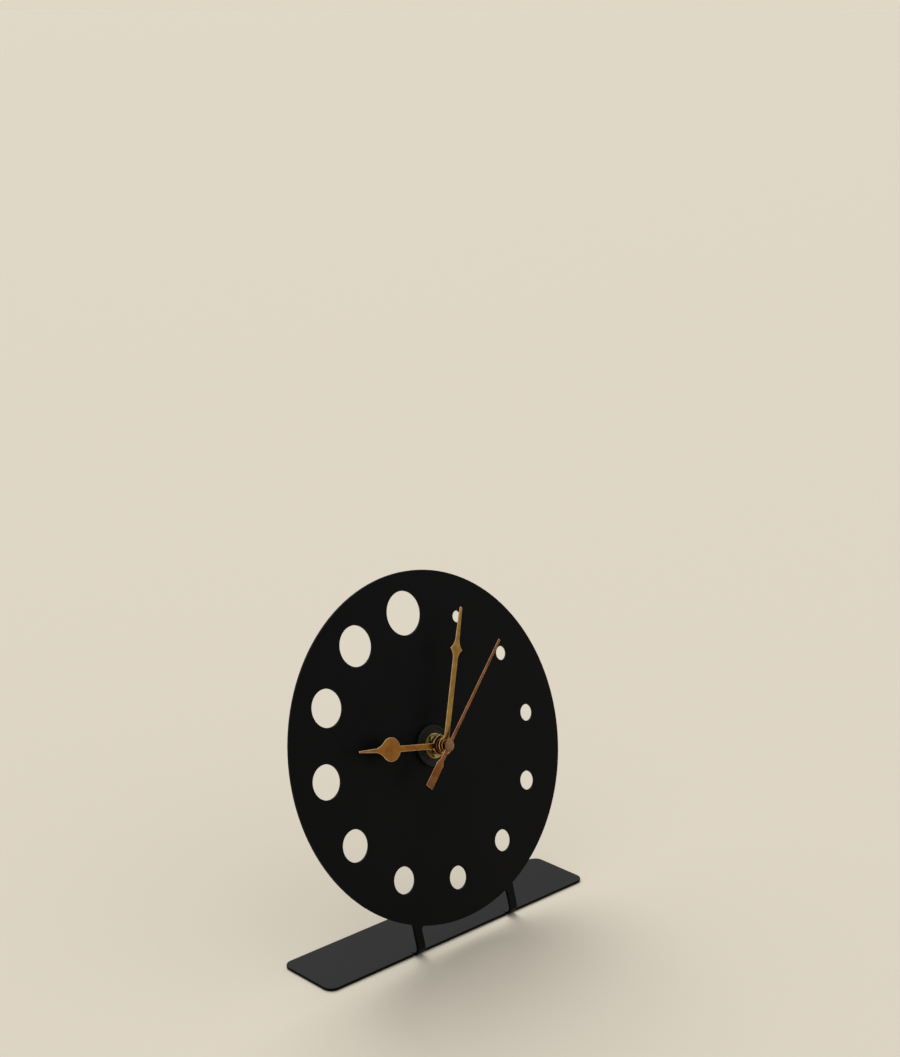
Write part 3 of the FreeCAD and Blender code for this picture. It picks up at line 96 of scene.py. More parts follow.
class Surface:
    """The node tree of one material, started with a Principled shader."""

    def __init__(self, name: str) -> None:
        """Creates the material.

        Args:
            name: what the real material is and how its surface was made.
        """
        self.material = bpy.data.materials.new(name)
        self.material.use_nodes = True
        self.tree = self.material.node_tree
        self.shader = next(n for n in self.tree.nodes if n.type == "BSDF_PRINCIPLED")

    def add(self, kind: str, **inputs: object) -> Node:
        """Adds a node, sets what is given and links what comes from another node.

        Args:
            kind: the node's type.
            inputs: settings by property name, socket values by name with spaces as underscores, or by
                number after in_.

        Returns:
            The new node.
        """
        node = self.tree.nodes.new(kind)
        for name, value in inputs.items():
            label = name.replace("_", " ")
            if hasattr(node, name) and label not in node.inputs:
                setattr(node, name, value)
                continue
            socket = node.inputs[int(name[3:])] if name.startswith("in_") else node.inputs[label]
            if isinstance(value, Socket):
                self.tree.links.new(value, socket)
            else:
                socket.default_value = value
        return node

    def ramp(self, value: Socket, low: str, high: str, start: float = 0.0, stop: float = 1.0) -> Socket:
        """Blends two colours by a value.

        Args:
            value: the socket that drives the blend.
            low: hex colour at start.
            high: hex colour at stop.
            start: value that gives the low colour.
            stop: value that gives the high colour.

        Returns:
            The colour socket.
        """
        node = self.add("ShaderNodeValToRGB", Fac=value)
        first, last = node.color_ramp.elements
        first.position, last.position = start, stop
        first.color, last.color = linear(low), linear(high)
        return node.outputs["Color"]

    def levels(self, value: Socket, low: float, high: float) -> Socket:
        """Maps a value from 0 to 1 onto another range.

        Args:
            value: the value socket.
            low: what 0 becomes.
            high: what 1 becomes.

        Returns:
            The value socket.
        """
        return self.add("ShaderNodeMapRange", Value=value, To_Min=low, To_Max=high).outputs["Result"]

    def dial_coordinates(self, turn: float = 0.0) -> Socket:
        """Gives coordinates in metres that lie along the dial, so that a pattern follows its tilt.

        Args:
            turn: clockwise angle of the pattern's own Y axis from twelve o'clock, in degrees.

        Returns:
            The vector socket.
        """
        spin = Matrix.Rotation(DIAL_TURN, 4, "X") @ Matrix.Rotation(-math.radians(turn), 4, "Z")
        place = self.add("ShaderNodeTexCoord").outputs["Object"]
        return self.add("ShaderNodeMapping", vector_type="TEXTURE", Vector=place, Location=DIAL_CENTRE,
                        Rotation=spin.to_euler("XYZ")).outputs["Vector"]

    def object_coordinates(self) -> Socket:
        """Gives the piece's own coordinates in metres, as a vector socket."""
        return self.add("ShaderNodeTexCoord").outputs["Object"]

    def noise(self, place: Socket, size_mm: float, detail: float = 3.0, roughness: float = 0.5) -> Socket:
        """Adds a noise whose blotches are about a real size across.

        Args:
            place: the vector socket.
            size_mm: distance between blotches.
            detail: octaves.
            roughness: strength of the finer octaves.

        Returns:
            The noise value.
        """
        return self.add("ShaderNodeTexNoise", Vector=place, Scale=1000 / size_mm, Detail=detail,
                        Roughness=roughness).outputs["Fac"]

    def bump(self, height: Socket, depth_mm: float, normal: Socket | None = None) -> Socket:
        """Turns a height from 0 to 1 into a normal.

        Args:
            height: the height socket.
            depth_mm: real height of a value of one.
            normal: a normal to add to.

        Returns:
            The normal socket.
        """
        node = self.add("ShaderNodeBump", Height=height, Distance=depth_mm * MM)
        if normal:
            self.tree.links.new(normal, node.inputs["Normal"])
        return node.outputs["Normal"]

    def shade(self, **sockets: object) -> bpy.types.Material:
        """Sets the shader's sockets.

        Args:
            sockets: values or sockets to link, by name with spaces as underscores.

        Returns:
            The finished material.
        """
        for name, value in sockets.items():
            socket = self.shader.inputs[name.replace("_", " ")]
            if isinstance(value, Socket):
                self.tree.links.new(value, socket)
            else:
                socket.default_value = value
        return self.material


@dataclass(frozen=True)
class PowderCoat:
    """Fine-textured matt black polyester powder, sprayed and baked on steel."""

    name: str = "polyester_powder_coat_baked"
    dark: str = "#080809"
    light: str = "#0d0d0e"
    # Real grit of the texture is about 0.25 mm; drawn at 0.5 mm so that it shows.
    grit_mm: float = 0.5
    grit_depth_mm: float = 0.012
    # Slow waves of the flowed powder, as orange peel.
    peel_mm: float = 2.6
    peel_depth_mm: float = 0.010
    # Film thickness varies over the palm-sized sweep of the spray gun.
    sweep_mm: float = 45.0
    rough: tuple[float, float] = (0.42, 0.5)
    shine: float = 0.06

    def material(self) -> bpy.types.Material:
        """Gives the material: nearly black, soft gloss at a flat angle."""
        surface = Surface(self.name)
        place = surface.object_coordinates()
        grit = surface.noise(place, self.grit_mm, detail=2.0)
        peel = surface.noise(place, self.peel_mm, detail=1.0)
        sweep = surface.noise(place, self.sweep_mm, detail=2.0)
        normal = surface.bump(peel, self.peel_depth_mm, surface.bump(grit, self.grit_depth_mm))
        return surface.shade(
            Base_Color=surface.ramp(sweep, self.dark, self.light, 0.3, 0.7),
            Roughness=surface.levels(sweep, *self.rough), Specular_IOR_Level=self.shine, Normal=normal)


@dataclass(frozen=True)
class MouldedRubber:
    """Black rubber washer, compression moulded, with a satin skin."""

    name: str = "nitrile_rubber_moulded"
    dark: str = "#090909"
    light: str = "#121212"
    # Talc and flow marks of a moulded skin.
    flow_mm: float = 1.4
    skin_mm: float = 0.35
    skin_depth_mm: float = 0.008
    rough: tuple[float, float] = (0.42, 0.6)
    shine: float = 0.22

    def material(self) -> bpy.types.Material:
        """Gives the material: black with a broad dull sheen."""
        surface = Surface(self.name)
        place = surface.dial_coordinates()
        flow = surface.noise(place, self.flow_mm)
        skin = surface.noise(place, self.skin_mm)
        return surface.shade(
            Base_Color=surface.ramp(flow, self.dark, self.light, 0.35, 0.7),
            Roughness=surface.levels(flow, *self.rough), Specular_IOR_Level=self.shine,
            Normal=surface.bump(skin, self.skin_depth_mm))


@dataclass(frozen=True)
class Metal:
    """A metal with the fine lines that turning, stamping or rolling leaves."""

    name: str
    dark: str
    light: str
    grain: Grain
    # Clockwise angle of straight lines from twelve o'clock, in degrees.
    turn: float = 0.0
    rough: tuple[float, float] = (0.2, 0.34)
    # Real tool lines are 0.02 to 0.05 mm apart; drawn at 0.16 mm so that they show.
    line_mm: float = 0.16
    line_length_mm: float = 9.0
    line_depth_mm: float = 0.0015
    # Tarnish and lacquer flow in patches of a few millimetres.
    patch_mm: float = 5.0

    def lines(self, surface: Surface) -> Socket:
        """Gives the pattern of the tool's lines.

        Args:
            surface: the material's node tree.

        Returns:
            A value socket from 0 to 1.
        """
        place = surface.dial_coordinates(self.turn)
        if self.grain is Grain.TURNED:
            parts = surface.add("ShaderNodeSeparateXYZ", Vector=place)
            square = [surface.add("ShaderNodeMath", operation="MULTIPLY", in_0=parts.outputs[axis],
                                  in_1=parts.outputs[axis]).outputs[0] for axis in "XY"]
            total = surface.add("ShaderNodeMath", operation="ADD", in_0=square[0], in_1=square[1]).outputs[0]
            radius = surface.add("ShaderNodeMath", operation="SQRT", in_0=total).outputs[0]
            along = surface.add("ShaderNodeMath", operation="ADD", in_0=radius,
                                in_1=parts.outputs["Z"]).outputs[0]
            place = surface.add("ShaderNodeCombineXYZ", X=along).outputs["Vector"]
            return surface.noise(place, self.line_mm, detail=2.0, roughness=0.7)
        stretch = self.line_length_mm / self.line_mm
        scale = (1.0, 1 / stretch, 1.0) if self.grain is Grain.STRAIGHT else (1 / stretch, 1.0, 1.0)
        place = surface.add("ShaderNodeMapping", Vector=place, Scale=scale).outputs["Vector"]
        return surface.noise(place, self.line_mm, detail=2.0, roughness=0.6)

    def material(self) -> bpy.types.Material:
        """Gives the material: coloured reflections broken by fine lines."""
        surface = Surface(self.name)
        lines = self.lines(surface)
        patch = surface.noise(surface.dial_coordinates(), self.patch_mm, detail=3.0)
        return surface.shade(
            Base_Color=surface.ramp(patch, self.dark, self.light, 0.3, 0.7), Metallic=1.0,
            Roughness=surface.levels(lines, *self.rough), Normal=surface.bump(lines, self.line_depth_mm))


@dataclass(frozen=True)
class Moulding:
    """A thermoplastic moulding with a spark-eroded or plain mould skin."""

    name: str
    dark: str
    light: str
    rough: tuple[float, float] = (0.42, 0.55)
    # Spark erosion leaves craters of about 0.15 mm; drawn at 0.3 mm so that they show.
    crater_mm: float = 0.3
    crater_depth_mm: float = 0.012
    # Slow flow marks where the melt met.
    flow_mm: float = 14.0
    shine: float = 0.45
    # Share of the light that goes through the skin, and how far.
    through: float = 0.0
    through_mm: float = 1.0

    def material(self) -> bpy.types.Material:
        """Gives the material: an even colour with a fine grained gloss."""
        surface = Surface(self.name)
        place = surface.object_coordinates()
        flow = surface.noise(place, self.flow_mm, detail=2.0)
        crater = surface.add("ShaderNodeTexVoronoi", Vector=place, Scale=1000 / self.crater_mm,
                             feature="SMOOTH_F1").outputs["Distance"]
        return surface.shade(
            Base_Color=surface.ramp(flow, self.dark, self.light, 0.3, 0.7),
            Roughness=surface.levels(flow, *self.rough), Specular_IOR_Level=self.shine,
            Subsurface_Weight=self.through, Subsurface_Scale=self.through_mm * MM,
            Normal=surface.bump(crater, self.crater_depth_mm))


@dataclass(frozen=True)
class Winding:
    """Enamelled copper wire wound in close layers on the coil."""

    name: str = "enamelled_copper_wire_wound"
    dark: str = "#5a2410"
    light: str = "#c4703c"
    # The wire is 0.03 mm thick; its layers are drawn as 0.3 mm bands so that they show.
    band_mm: float = 0.3
    band_depth_mm: float = 0.05
    waviness: float = 0.6
    # The wave texture has this many bands in a length of one at a scale of one.
    bands_per_scale: float = 20.0
    rough: float = 0.3
    enamel: float = 0.6
    enamel_rough: float = 0.12

    def material(self) -> bpy.types.Material:
        """Gives the material: copper bands under clear enamel."""
        surface = Surface(self.name)
        place = surface.dial_coordinates()
        bands = surface.add("ShaderNodeTexWave", Vector=place, bands_direction="Y",
                            Scale=1000 / self.band_mm / self.bands_per_scale,
                            Distortion=self.waviness).outputs["Fac"]
        return surface.shade(
            Base_Color=surface.ramp(bands, self.dark, self.light), Metallic=1.0, Roughness=self.rough,
            Coat_Weight=self.enamel, Coat_Roughness=self.enamel_rough,
            Normal=surface.bump(bands, self.band_depth_mm))


@dataclass(frozen=True)
class CellSleeve:
    """Plain shrunk sleeve of a battery cell with bare steel at both ends."""

    name: str = "shrunk_sleeve_over_steel_can"
    sleeve: str = "#3c434b"
    band: str = "#8d9094"
    steel: str = "#c9cac8"
    # The sleeve covers the can to 0.75 mm from each end; the band is 9 mm at the cap's end.
    middle_mm: float = 0.2
    half_length_mm: float = 23.85
    band_mm: float = 9.0
    wrinkle_mm: float = 3.0
    wrinkle_depth_mm: float = 0.01
    rough: tuple[float, float] = (0.28, 0.42)
    # The sleeve is metallised a little; the can is metal.
    metal: tuple[float, float] = (0.25, 1.0)

    def material(self) -> bpy.types.Material:
        """Gives the material: satin sleeve in two tones, bright ends."""
        surface = Surface(self.name)
        place = surface.dial_coordinates()
        along = surface.add("ShaderNodeSeparateXYZ", Vector=place).outputs["X"]
        low, high = self.middle_mm - self.half_length_mm, self.middle_mm + self.half_length_mm
        past_low, past_band, past_high = (
            surface.add("ShaderNodeMath", operation="GREATER_THAN", in_0=along, in_1=step * MM).outputs[0]
            for step in (low, high - self.band_mm, high))
        tone = surface.add("ShaderNodeMix", data_type="RGBA", in_0=past_band, in_6=linear(self.sleeve),
                           in_7=linear(self.band)).outputs[2]
        bare = surface.add("ShaderNodeMath", operation="SUBTRACT", in_0=past_high, in_1=past_low).outputs[0]
        ends = surface.add("ShaderNodeMath", operation="ADD", in_0=bare, in_1=1.0).outputs[0]
        colour = surface.add("ShaderNodeMix", data_type="RGBA", in_0=ends, in_6=tone,
                             in_7=linear(self.steel)).outputs[2]
        wrinkle = surface.noise(place, self.wrinkle_mm)
        return surface.shade(
            Base_Color=colour, Metallic=surface.levels(ends, *self.metal),
            Roughness=surface.levels(wrinkle, *self.rough),
            Normal=surface.bump(wrinkle, self.wrinkle_depth_mm))


def deselect_all() -> None:
    """Clears the selection and leaves edit mode."""
    if bpy.context.object and bpy.context.object.mode != "OBJECT":
        bpy.ops.object.mode_set(mode="OBJECT")
    bpy.ops.object.select_all(action="DESELECT")


def make_active(piece: Piece) -> None:
    """Makes a piece the only selected and the active object.

    Args:
        piece: the piece.
    """
    deselect_all()
    piece.select_set(True)
    bpy.context.view_layer.objects.active = piece


def round_edges(piece: Piece, width_mm: float, segments: int, sharper: float, **settings: bool) -> None:
    """Rounds the sharp edges of a smooth-shaded mesh.

    Args:
        piece: the mesh object.
        width_mm: width of the rounding.
        segments: faces across it.
        sharper: least bend of an edge that is rounded, in degrees.
        settings: the bevel modifier's own switches.
    """
    make_active(piece)
    bevel = piece.modifiers.new("rounded_edges", "BEVEL")
    bevel.width, bevel.segments = width_mm * MM, segments
    bevel.limit_method, bevel.angle_limit = "ANGLE", math.radians(sharper)
    bevel.harden_normals = True
    for key, value in settings.items():
        setattr(bevel, key, value)
    bpy.ops.object.modifier_apply(modifier=bevel.name)


def edit_parts(piece: Piece, part: Part, chosen: Callable[..., bool]) -> None:
    """Enters edit mode with only the chosen faces or points selected.

    Args:
        piece: the mesh object.
        part: whether faces or points are selected.
        chosen: tells from a face or point whether it is wanted.
    """
    edit_all(piece, part)
    bpy.ops.mesh.select_all(action="DESELECT")
    bpy.ops.object.mode_set(mode="OBJECT")
    for element in piece.data.polygons if part is Part.FACES else piece.data.vertices:
        element.select = chosen(element)
    bpy.ops.object.mode_set(mode="EDIT")


def edit_all(piece: Piece, part: Part = Part.FACES) -> None:
    """Enters edit mode with the whole mesh selected.

    Args:
        piece: the mesh object.
        part: whether faces or points are selected.
    """
    make_active(piece)
    bpy.ops.object.mode_set(mode="EDIT")
    bpy.ops.mesh.select_mode(type=part.value)
    bpy.ops.mesh.select_all(action="SELECT")


def extrude(direction: Vector, length_mm: float) -> None:
    """Extrudes the selected faces.

    Args:
        direction: which way they go.
        length_mm: how far.
    """
    step = direction.normalized() * length_mm * MM
    bpy.ops.mesh.extrude_region_move(TRANSFORM_OT_translate={"value": step})


def new_piece(name: str, primitive: Callable[..., set[str]], **settings: object) -> Piece:
    """Adds a primitive at the origin to model from.

    Args:
        name: the piece's name.
        primitive: the operator that adds it.
        settings: the operator's own sizes.

    Returns:
        The new object, with its scale applied.
    """
    deselect_all()
    primitive(location=(0.0, 0.0, 0.0), **settings)
    piece = bpy.context.object
    piece.name = name
    bpy.ops.object.transform_apply(location=False, rotation=False, scale=True)
    return piece


def twin(piece: Piece, name: str) -> Piece:
    """Copies a piece with a mesh of its own.

    Args:
        piece: the piece.
        name: the copy's name.

    Returns:
        The copy.
    """
    copy = piece.copy()
    copy.data = piece.data.copy()
    copy.name = name
    bpy.context.scene.collection.objects.link(copy)
    return copy


def settle(piece: Piece, x: float, y: float, z: float, turn: Matrix = Matrix.Identity(4)) -> None:
    """Puts a piece that was modelled at the origin in its place on the dial and applies it.

    Args:
        piece: the piece.
        x: millimetres to the right of the dial's centre.
        y: millimetres up the dial.
        z: millimetres in front of the dial.
        turn: rotation of the piece about its own origin.
    """
    make_active(piece)
    piece.matrix_world = DIAL_FRAME @ Matrix.Translation(Vector((x, y, z)) * MM) @ turn
    bpy.ops.object.transform_apply(location=True, rotation=True, scale=True)


def softened_copy(node: str, name: str, radius_mm: float, segments: int = 2, clamp: bool = True,
                  shape: Callable[[Piece], None] | None = None) -> Piece:
    """Copies a solid's mesh, merges it and rounds its sharp edges, as the real process leaves them.

    Args:
        node: the CAD node to copy.
        name: the new piece's name.
        radius_mm: width of the rounding.
        segments: faces across it.
        clamp: whether short edges hold the rounding back.
        shape: changes the copy's form before it is rounded.

    Returns:
        The new piece, which stands for the node.
    """
    piece = bpy.data.objects.new(name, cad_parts[node].data.copy())
    bpy.context.scene.collection.objects.link(piece)
    make_active(piece)
    bpy.ops.mesh.customdata_custom_splitnormals_clear()
    edit_all(piece)
    bpy.ops.mesh.remove_doubles(threshold=MERGE_DISTANCE)
    bpy.ops.mesh.dissolve_limited(angle_limit=FLAT_BEND)
    bpy.ops.object.mode_set(mode="OBJECT")
    if shape:
        shape(piece)
    bpy.ops.object.shade_smooth()
    round_edges(piece, radius_mm, segments, 32.0, use_clamp_overlap=clamp, loop_slide=False)
    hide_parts(node)
    return piece


def finish_piece(piece: Piece, body: str, material: bpy.types.Material,
                 edge: bpy.types.Material | None = None) -> None:
    """Gives a new piece its body and materials and logs it.

    Args:
        piece: the piece, in its final shape.
        body: the CAD body it moves with.
        material: its material.
        edge: a second material, for the faces that don't lie along the dial.
    """
    piece.data.materials.clear()
    piece.data.materials.append(material)
    if edge:
        piece.data.materials.append(edge)
        # On the hands the second material is a painted highlight, put on every face that doesn't lie along
        # the dial.
        facing = DIAL_FRAME.to_3x3() @ Vector((0.0, 0.0, 1.0))
        for face in piece.data.polygons:
            face.material_index = int(abs(face.normal.dot(facing)) < FLAT_COSINE)
    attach(piece, body)
    LOG.info("%s rides on %s, %d faces", piece.name, body, len(piece.data.polygons))


def dress_node(node: str, material: bpy.types.Material) -> None:
    """Gives a CAD node that stays its material.

    Args:
        node: the node's name.
        material: its material.
    """
    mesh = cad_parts[node].data
    mesh.materials.clear()
    mesh.materials.append(material)
    LOG.info("%s keeps its solid", node)


@dataclass
class FoldedStand:
    """Dial, legs and base, cut and folded from one sheet."""

    edge_mm: float = 0.22
    dial_radius_mm: float = 87.5
    sheet_mm: float = 1.5
    leg_outer_mm: float = 34.15
    # Reach of the leg's rounded outer corner from the point where it meets the rim, and how closely a
    # point has to lie on a side or a face of the sheet.
    corner_reach_mm: float = 2.4
    side_margin_mm: float = 0.01
    face_margin_mm: float = 0.375
    coat: PowderCoat = field(default_factory=PowderCoat)

    def build(self) -> None:
        """Builds the sheet with the soft edges of a thick powder coat."""
        sheet = softened_copy("dial_stand", "folded_sheet", self.edge_mm, 3, clamp=False,
                              shape=self.close_roots)
        finish_piece(sheet, "stand", self.coat.material())

    def close_roots(self, sheet: Piece) -> None:
        """Draws the outer top corner of each leg up to the dial's rim, front and back.

        Args:
            sheet: the sheet, before its edges are softened.
        """
        drop = -math.sqrt(self.dial_radius_mm ** 2 - self.leg_outer_mm ** 2)
        for side in (-1.0, 1.0):
            for depth in (0.0, -self.sheet_mm):
                corner = Vector((side * self.leg_outer_mm, drop, depth))
                edit_parts(sheet, Part.POINTS, lambda vertex: self.near(vertex, corner))
                bpy.ops.transform.resize(value=(0.0, 0.0, 0.0), center_override=DIAL_FRAME @ (corner * MM))
        edit_all(sheet, Part.POINTS)
        bpy.ops.mesh.remove_doubles(threshold=MERGE_DISTANCE)
        bpy.ops.object.mode_set(mode="OBJECT")

    def near(self, vertex: bpy.types.MeshVertex, corner: Vector) -> bool:
        """Tells whether a vertex belongs to a leg's rounded outer corner.

        Args:
            vertex: the vertex.
            corner: where the leg's side meets the rim, on one face of the sheet.

        Returns:
            True if it lies within the corner's reach, on its face and no further out than the side.
        """
        place = DIAL_FRAME.inverted() @ vertex.co / MM
        return ((place - corner).xy.length < self.corner_reach_mm and
                abs(place.x) < self.leg_outer_mm + self.side_margin_mm and
                abs(place.z - corner.z) < self.face_margin_mm)


@dataclass
class FixingStack:
    """Rubber washer, brass washer, nut and threaded neck in front of the dial."""

    washer_edge_mm: float = 0.25
    rubber: MouldedRubber = field(default_factory=MouldedRubber)
    brass: Metal = Metal("free_cutting_brass_turned", "#8c7a4c", "#b5a268", Grain.TURNED)

    def build(self) -> None:
        """Builds the four fixing pieces."""
        brass = self.brass.material()
        washer = softened_copy("rubber_washer", "moulded_rubber_washer", self.washer_edge_mm, 3)
        finish_piece(washer, "stand", self.rubber.material())
        for node, name, edge_mm in (("brass_washer", "turned_brass_washer", 0.1),
                                    ("hex_nut", "chamfered_hex_nut", 0.12),
                                    ("threaded_bush", "threaded_neck", 0.12)):
            finish_piece(softened_copy(node, name, edge_mm), "stand", brass)


@dataclass
class Hand:
    """One stamped hand with the collet or hub that carries it."""

    blade: str
    hub: str
    body: str
    slot: str
    metal: Metal
    # Paler metal for the blade's edges and sides: a painted highlight.
    edge_highlight_metal: Metal
    hub_metal: Metal
    edge_mm: float = 0.2
    hub_edge_mm: float = 0.15

    def build(self) -> None:
        """Builds the blade and its hub, with a painted highlight in a paler metal on the blade's rolled
        edges.
        """
        blade = softened_copy(self.blade, f"stamped_{self.blade}", self.edge_mm, clamp=False)
        finish_piece(blade, self.body, self.metal.material(), self.edge_highlight_metal.material())
        hub = softened_copy(self.hub, f"pressed_{self.hub}", self.hub_edge_mm, 3)
        finish_piece(hub, self.body, self.hub_metal.material())


@dataclass
class Cell:
    """AA cell: steel can with a shrunk sleeve, a rim at both ends and a pressed cap."""

    radius_mm: float = 7.15
    low_end_mm: float = -24.4
    high_end_mm: float = 24.8
    height_mm: float = -19.095
    depth_mm: float = -10.3
    edge_mm: float = 0.25
    lip_mm: float = 1.1
    lip_depth_mm: float = 0.35
    cap_radius_mm: float = 2.75
    cap_height_mm: float = 1.3
    base_radius_mm: float = 5.2
    sides: int = 96
    sleeve: CellSleeve = field(default_factory=CellSleeve)

    def build(self) -> None:
        """Models the cell from a cylinder, end by end, and lays it in its bay."""
        length = self.high_end_mm - self.low_end_mm
        cell = new_piece("sleeved_aa_cell", bpy.ops.mesh.primitive_cylinder_add, vertices=self.sides,
                         radius=self.radius_mm * MM, depth=length * MM)
        up = Vector((0.0, 0.0, 1.0))
        self.shape_end(cell, up, self.cap_radius_mm, self.cap_height_mm + self.lip_depth_mm)
        self.shape_end(cell, -up, self.base_radius_mm, self.lip_depth_mm)
        bpy.ops.object.mode_set(mode="OBJECT")
        bpy.ops.object.shade_smooth()
        round_edges(cell, self.edge_mm, 3, 40.0)
        middle = (self.low_end_mm + self.high_end_mm) / 2
        settle(cell, middle, self.height_mm, self.depth_mm, Matrix.Rotation(math.pi / 2, 4, "Y"))
        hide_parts("battery")
        finish_piece(cell, "battery", self.sleeve.material())

    def shape_end(self, cell: Piece, outward: Vector, inner_mm: float, rise_mm: float) -> None:
        """Sinks an end inside its lip and raises its middle.

        Args:
            cell: the cell.
            outward: the direction that the end faces.
            inner_mm: radius of the raised middle.
            rise_mm: how far it stands above the sunk ring.
        """
        edit_parts(cell, Part.FACES, lambda face: face.normal.dot(outward) > FLAT_COSINE)
        bpy.ops.mesh.inset(thickness=self.lip_mm * MM)
        extrude(-outward, self.lip_depth_mm)
        bpy.ops.mesh.inset(thickness=(self.radius_mm - self.lip_mm - inner_mm) * MM)
        extrude(outward, rise_mm)


@dataclass
class CoverMarks:
    """Raised marks moulded on the rear cover: polarity by the bay and turning arrows by the knob."""

    face_mm: float = -17.5
    height_mm: float = 0.3
    bar_mm: float = 0.7
    arm_mm: float = 1.1
    polarity_x_mm: float = 23.5
    polarity_y_mm: float = -8.6
    knob_x_mm: float = -17.12
    knob_y_mm: float = 3.02
    arrow_radius_mm: float = 8.7
    arrow_span: float = math.radians(48)
    arrow_steps: int = 14
    # Middles of the two arrows round the knob, in degrees.
    arrow_places: tuple[float, ...] = (60.0, 240.0)
    head_mm: float = 1.5
    # Width of an arrow's head and of its tip, against the bar's and the head's.
    head_share: float = 2.4
    tip_share: float = 0.06
    head_step_mm: float = 0.02
    edge_mm: float = 0.08
    weld_mm: float = 0.0001

    def build(self, material: bpy.types.Material) -> None:
        """Models the marks and sets them on the cover.

        Args:
            material: the cover's material.
        """
        plus = self.mark("polarity_plus", ((1, 0), (-1, 0), (0, 1), (0, -1)))
        minus = self.mark("polarity_minus", ((1, 0), (-1, 0)))
        settle(plus, self.polarity_x_mm, self.polarity_y_mm, self.face_mm)
        settle(minus, -self.polarity_x_mm, self.polarity_y_mm, self.face_mm)
        arrow = self.arrow()
        arrows = [twin(arrow, f"setting_arrow_{number}") for number in (1, 2)]
        bpy.data.objects.remove(arrow)
        for piece, place in zip(arrows, self.arrow_places):
            settle(piece, self.knob_x_mm, self.knob_y_mm, self.face_mm,
                   Matrix.Rotation(math.radians(place), 4, "Z"))
        for piece in (plus, minus, *arrows):
            finish_piece(piece, "stand", material)

    def mark(self, name: str, arms: tuple[tuple[int, int], ...]) -> Piece:
        """Models a raised bar or cross from a small block whose sides are drawn out.

        Args:
            name: the piece's name.
            arms: the directions of its arms.

        Returns:
            The piece, at the origin.
        """
        piece = new_piece(name, bpy.ops.mesh.primitive_cube_add, size=1.0,
                          scale=Vector((self.bar_mm, self.bar_mm, 2 * self.height_mm)) * MM)
        for x, y in arms:
            way = Vector((x, y, 0.0))
            edit_parts(piece, Part.FACES, lambda face: face.normal.dot(way) > FLAT_COSINE and
                       (face.center - way * face.center.dot(way)).length < self.bar_mm * MM / 4)
            extrude(way, self.arm_mm)
        self.round_off(piece)
        return piece

    def arrow(self) -> Piece:
        """Models a curved arrow by spinning a bar's section round the knob's axis.

        Returns:
            The piece, bent round the origin with its middle on the X axis.
        """
        radius = Vector((self.arrow_radius_mm * MM, 0.0, 0.0))
        piece = new_piece("setting_arrow", bpy.ops.mesh.primitive_plane_add, size=1.0)
        piece.location = radius
        piece.rotation_euler.x = math.pi / 2
        piece.scale = Vector((self.bar_mm * MM, 2 * self.height_mm * MM, 1.0))
        bpy.ops.object.transform_apply(location=True, rotation=True, scale=True)
        edit_all(piece)
        bpy.ops.mesh.spin(steps=self.arrow_steps, angle=self.arrow_span, center=(0.0, 0.0, 0.0),
                          axis=(0.0, 0.0, 1.0))
        bpy.ops.mesh.select_all(action="SELECT")
        bpy.ops.mesh.fill_holes(sides=4)
        bpy.ops.object.mode_set(mode="OBJECT")
        sense = math.copysign(1.0, sum(vertex.co.y for vertex in piece.data.vertices))
        self.draw_head(piece, radius, Vector((0.0, -sense, 0.0)))
        self.round_off(piece)
        piece.rotation_euler.z = -sense * self.arrow_span / 2
        bpy.ops.object.transform_apply(location=False, rotation=True, scale=False)
        return piece

    def draw_head(self, piece: Piece, centre: Vector, ahead: Vector) -> None:
        """Draws the first end of a curved bar out to an arrow's head.

        Args:
            piece: the bar.
            centre: the middle of its first section.
            ahead: the way that the head points.
        """
        edit_parts(piece, Part.FACES, lambda face: abs(face.normal.dot(ahead)) > FLAT_COSINE and
                   (face.center - centre).length < self.bar_mm * MM / 2)
        for length_mm, share in ((self.head_step_mm, self.head_share), (self.head_mm, self.tip_share)):
            extrude(ahead, length_mm)
            bpy.ops.transform.resize(value=(share, 1.0, 1.0), center_override=centre)
        bpy.ops.object.mode_set(mode="OBJECT")

    def round_off(self, piece: Piece) -> None:
        """Merges a mark's points, turns its faces out and rounds its edges.

        Args:
            piece: the mark.
        """
        edit_all(piece)
        bpy.ops.mesh.remove_doubles(threshold=self.weld_mm * MM)
        bpy.ops.mesh.normals_make_consistent(inside=False)
        bpy.ops.object.mode_set(mode="OBJECT")
        round_edges(piece, self.edge_mm, 2, 40.0)


@dataclass
class Latches:
    """Snap latches on the case's sides that hold the rear cover."""

    width_mm: float = 7.0
    length_mm: float = 2.6
    height_mm: float = 0.6
    edge_mm: float = 0.12
    # The latch narrows to these shares of its width and length, away from the case.
    top_width: float = 0.9
    top_length: float = 0.45
    depth_mm: float = -14.6
    # Places on the case, with the latch's turn in degrees.
    places: tuple[tuple[float, float, float], ...] = (
        (0.0, 28.0, 0.0), (-28.0, 9.0, 90.0), (28.0, 9.0, -90.0))

    def build(self, material: bpy.types.Material) -> None:
        """Models one latch and sets copies on the top and both sides.

        Args:
            material: the case's material.
        """
        latch = self.latch()
        for number, (x, y, turn) in enumerate(self.places, 1):
            piece = twin(latch, f"cover_latch_{number}")
            settle(piece, x, y, self.depth_mm, Matrix.Rotation(math.radians(turn), 4, "Z"))
            finish_piece(piece, "stand", material)
        bpy.data.objects.remove(latch)

    def latch(self) -> Piece:
        """Models a latch as a block with a sloped lead-in towards the rear.

        Returns:
            The latch, at the origin.
        """
        piece = new_piece("cover_latch", bpy.ops.mesh.primitive_cube_add, size=1.0,
                          scale=Vector((self.width_mm, 2 * self.height_mm, self.length_mm)) * MM)
        edit_parts(piece, Part.FACES, lambda face: face.normal.y > FLAT_COSINE)
        bpy.ops.transform.resize(value=(self.top_width, 1.0, self.top_length),
                                 center_override=(0.0, 0.0, self.length_mm * MM / 4))
        bpy.ops.object.mode_set(mode="OBJECT")
        round_edges(piece, self.edge_mm, 3, 25.0)
        return piece


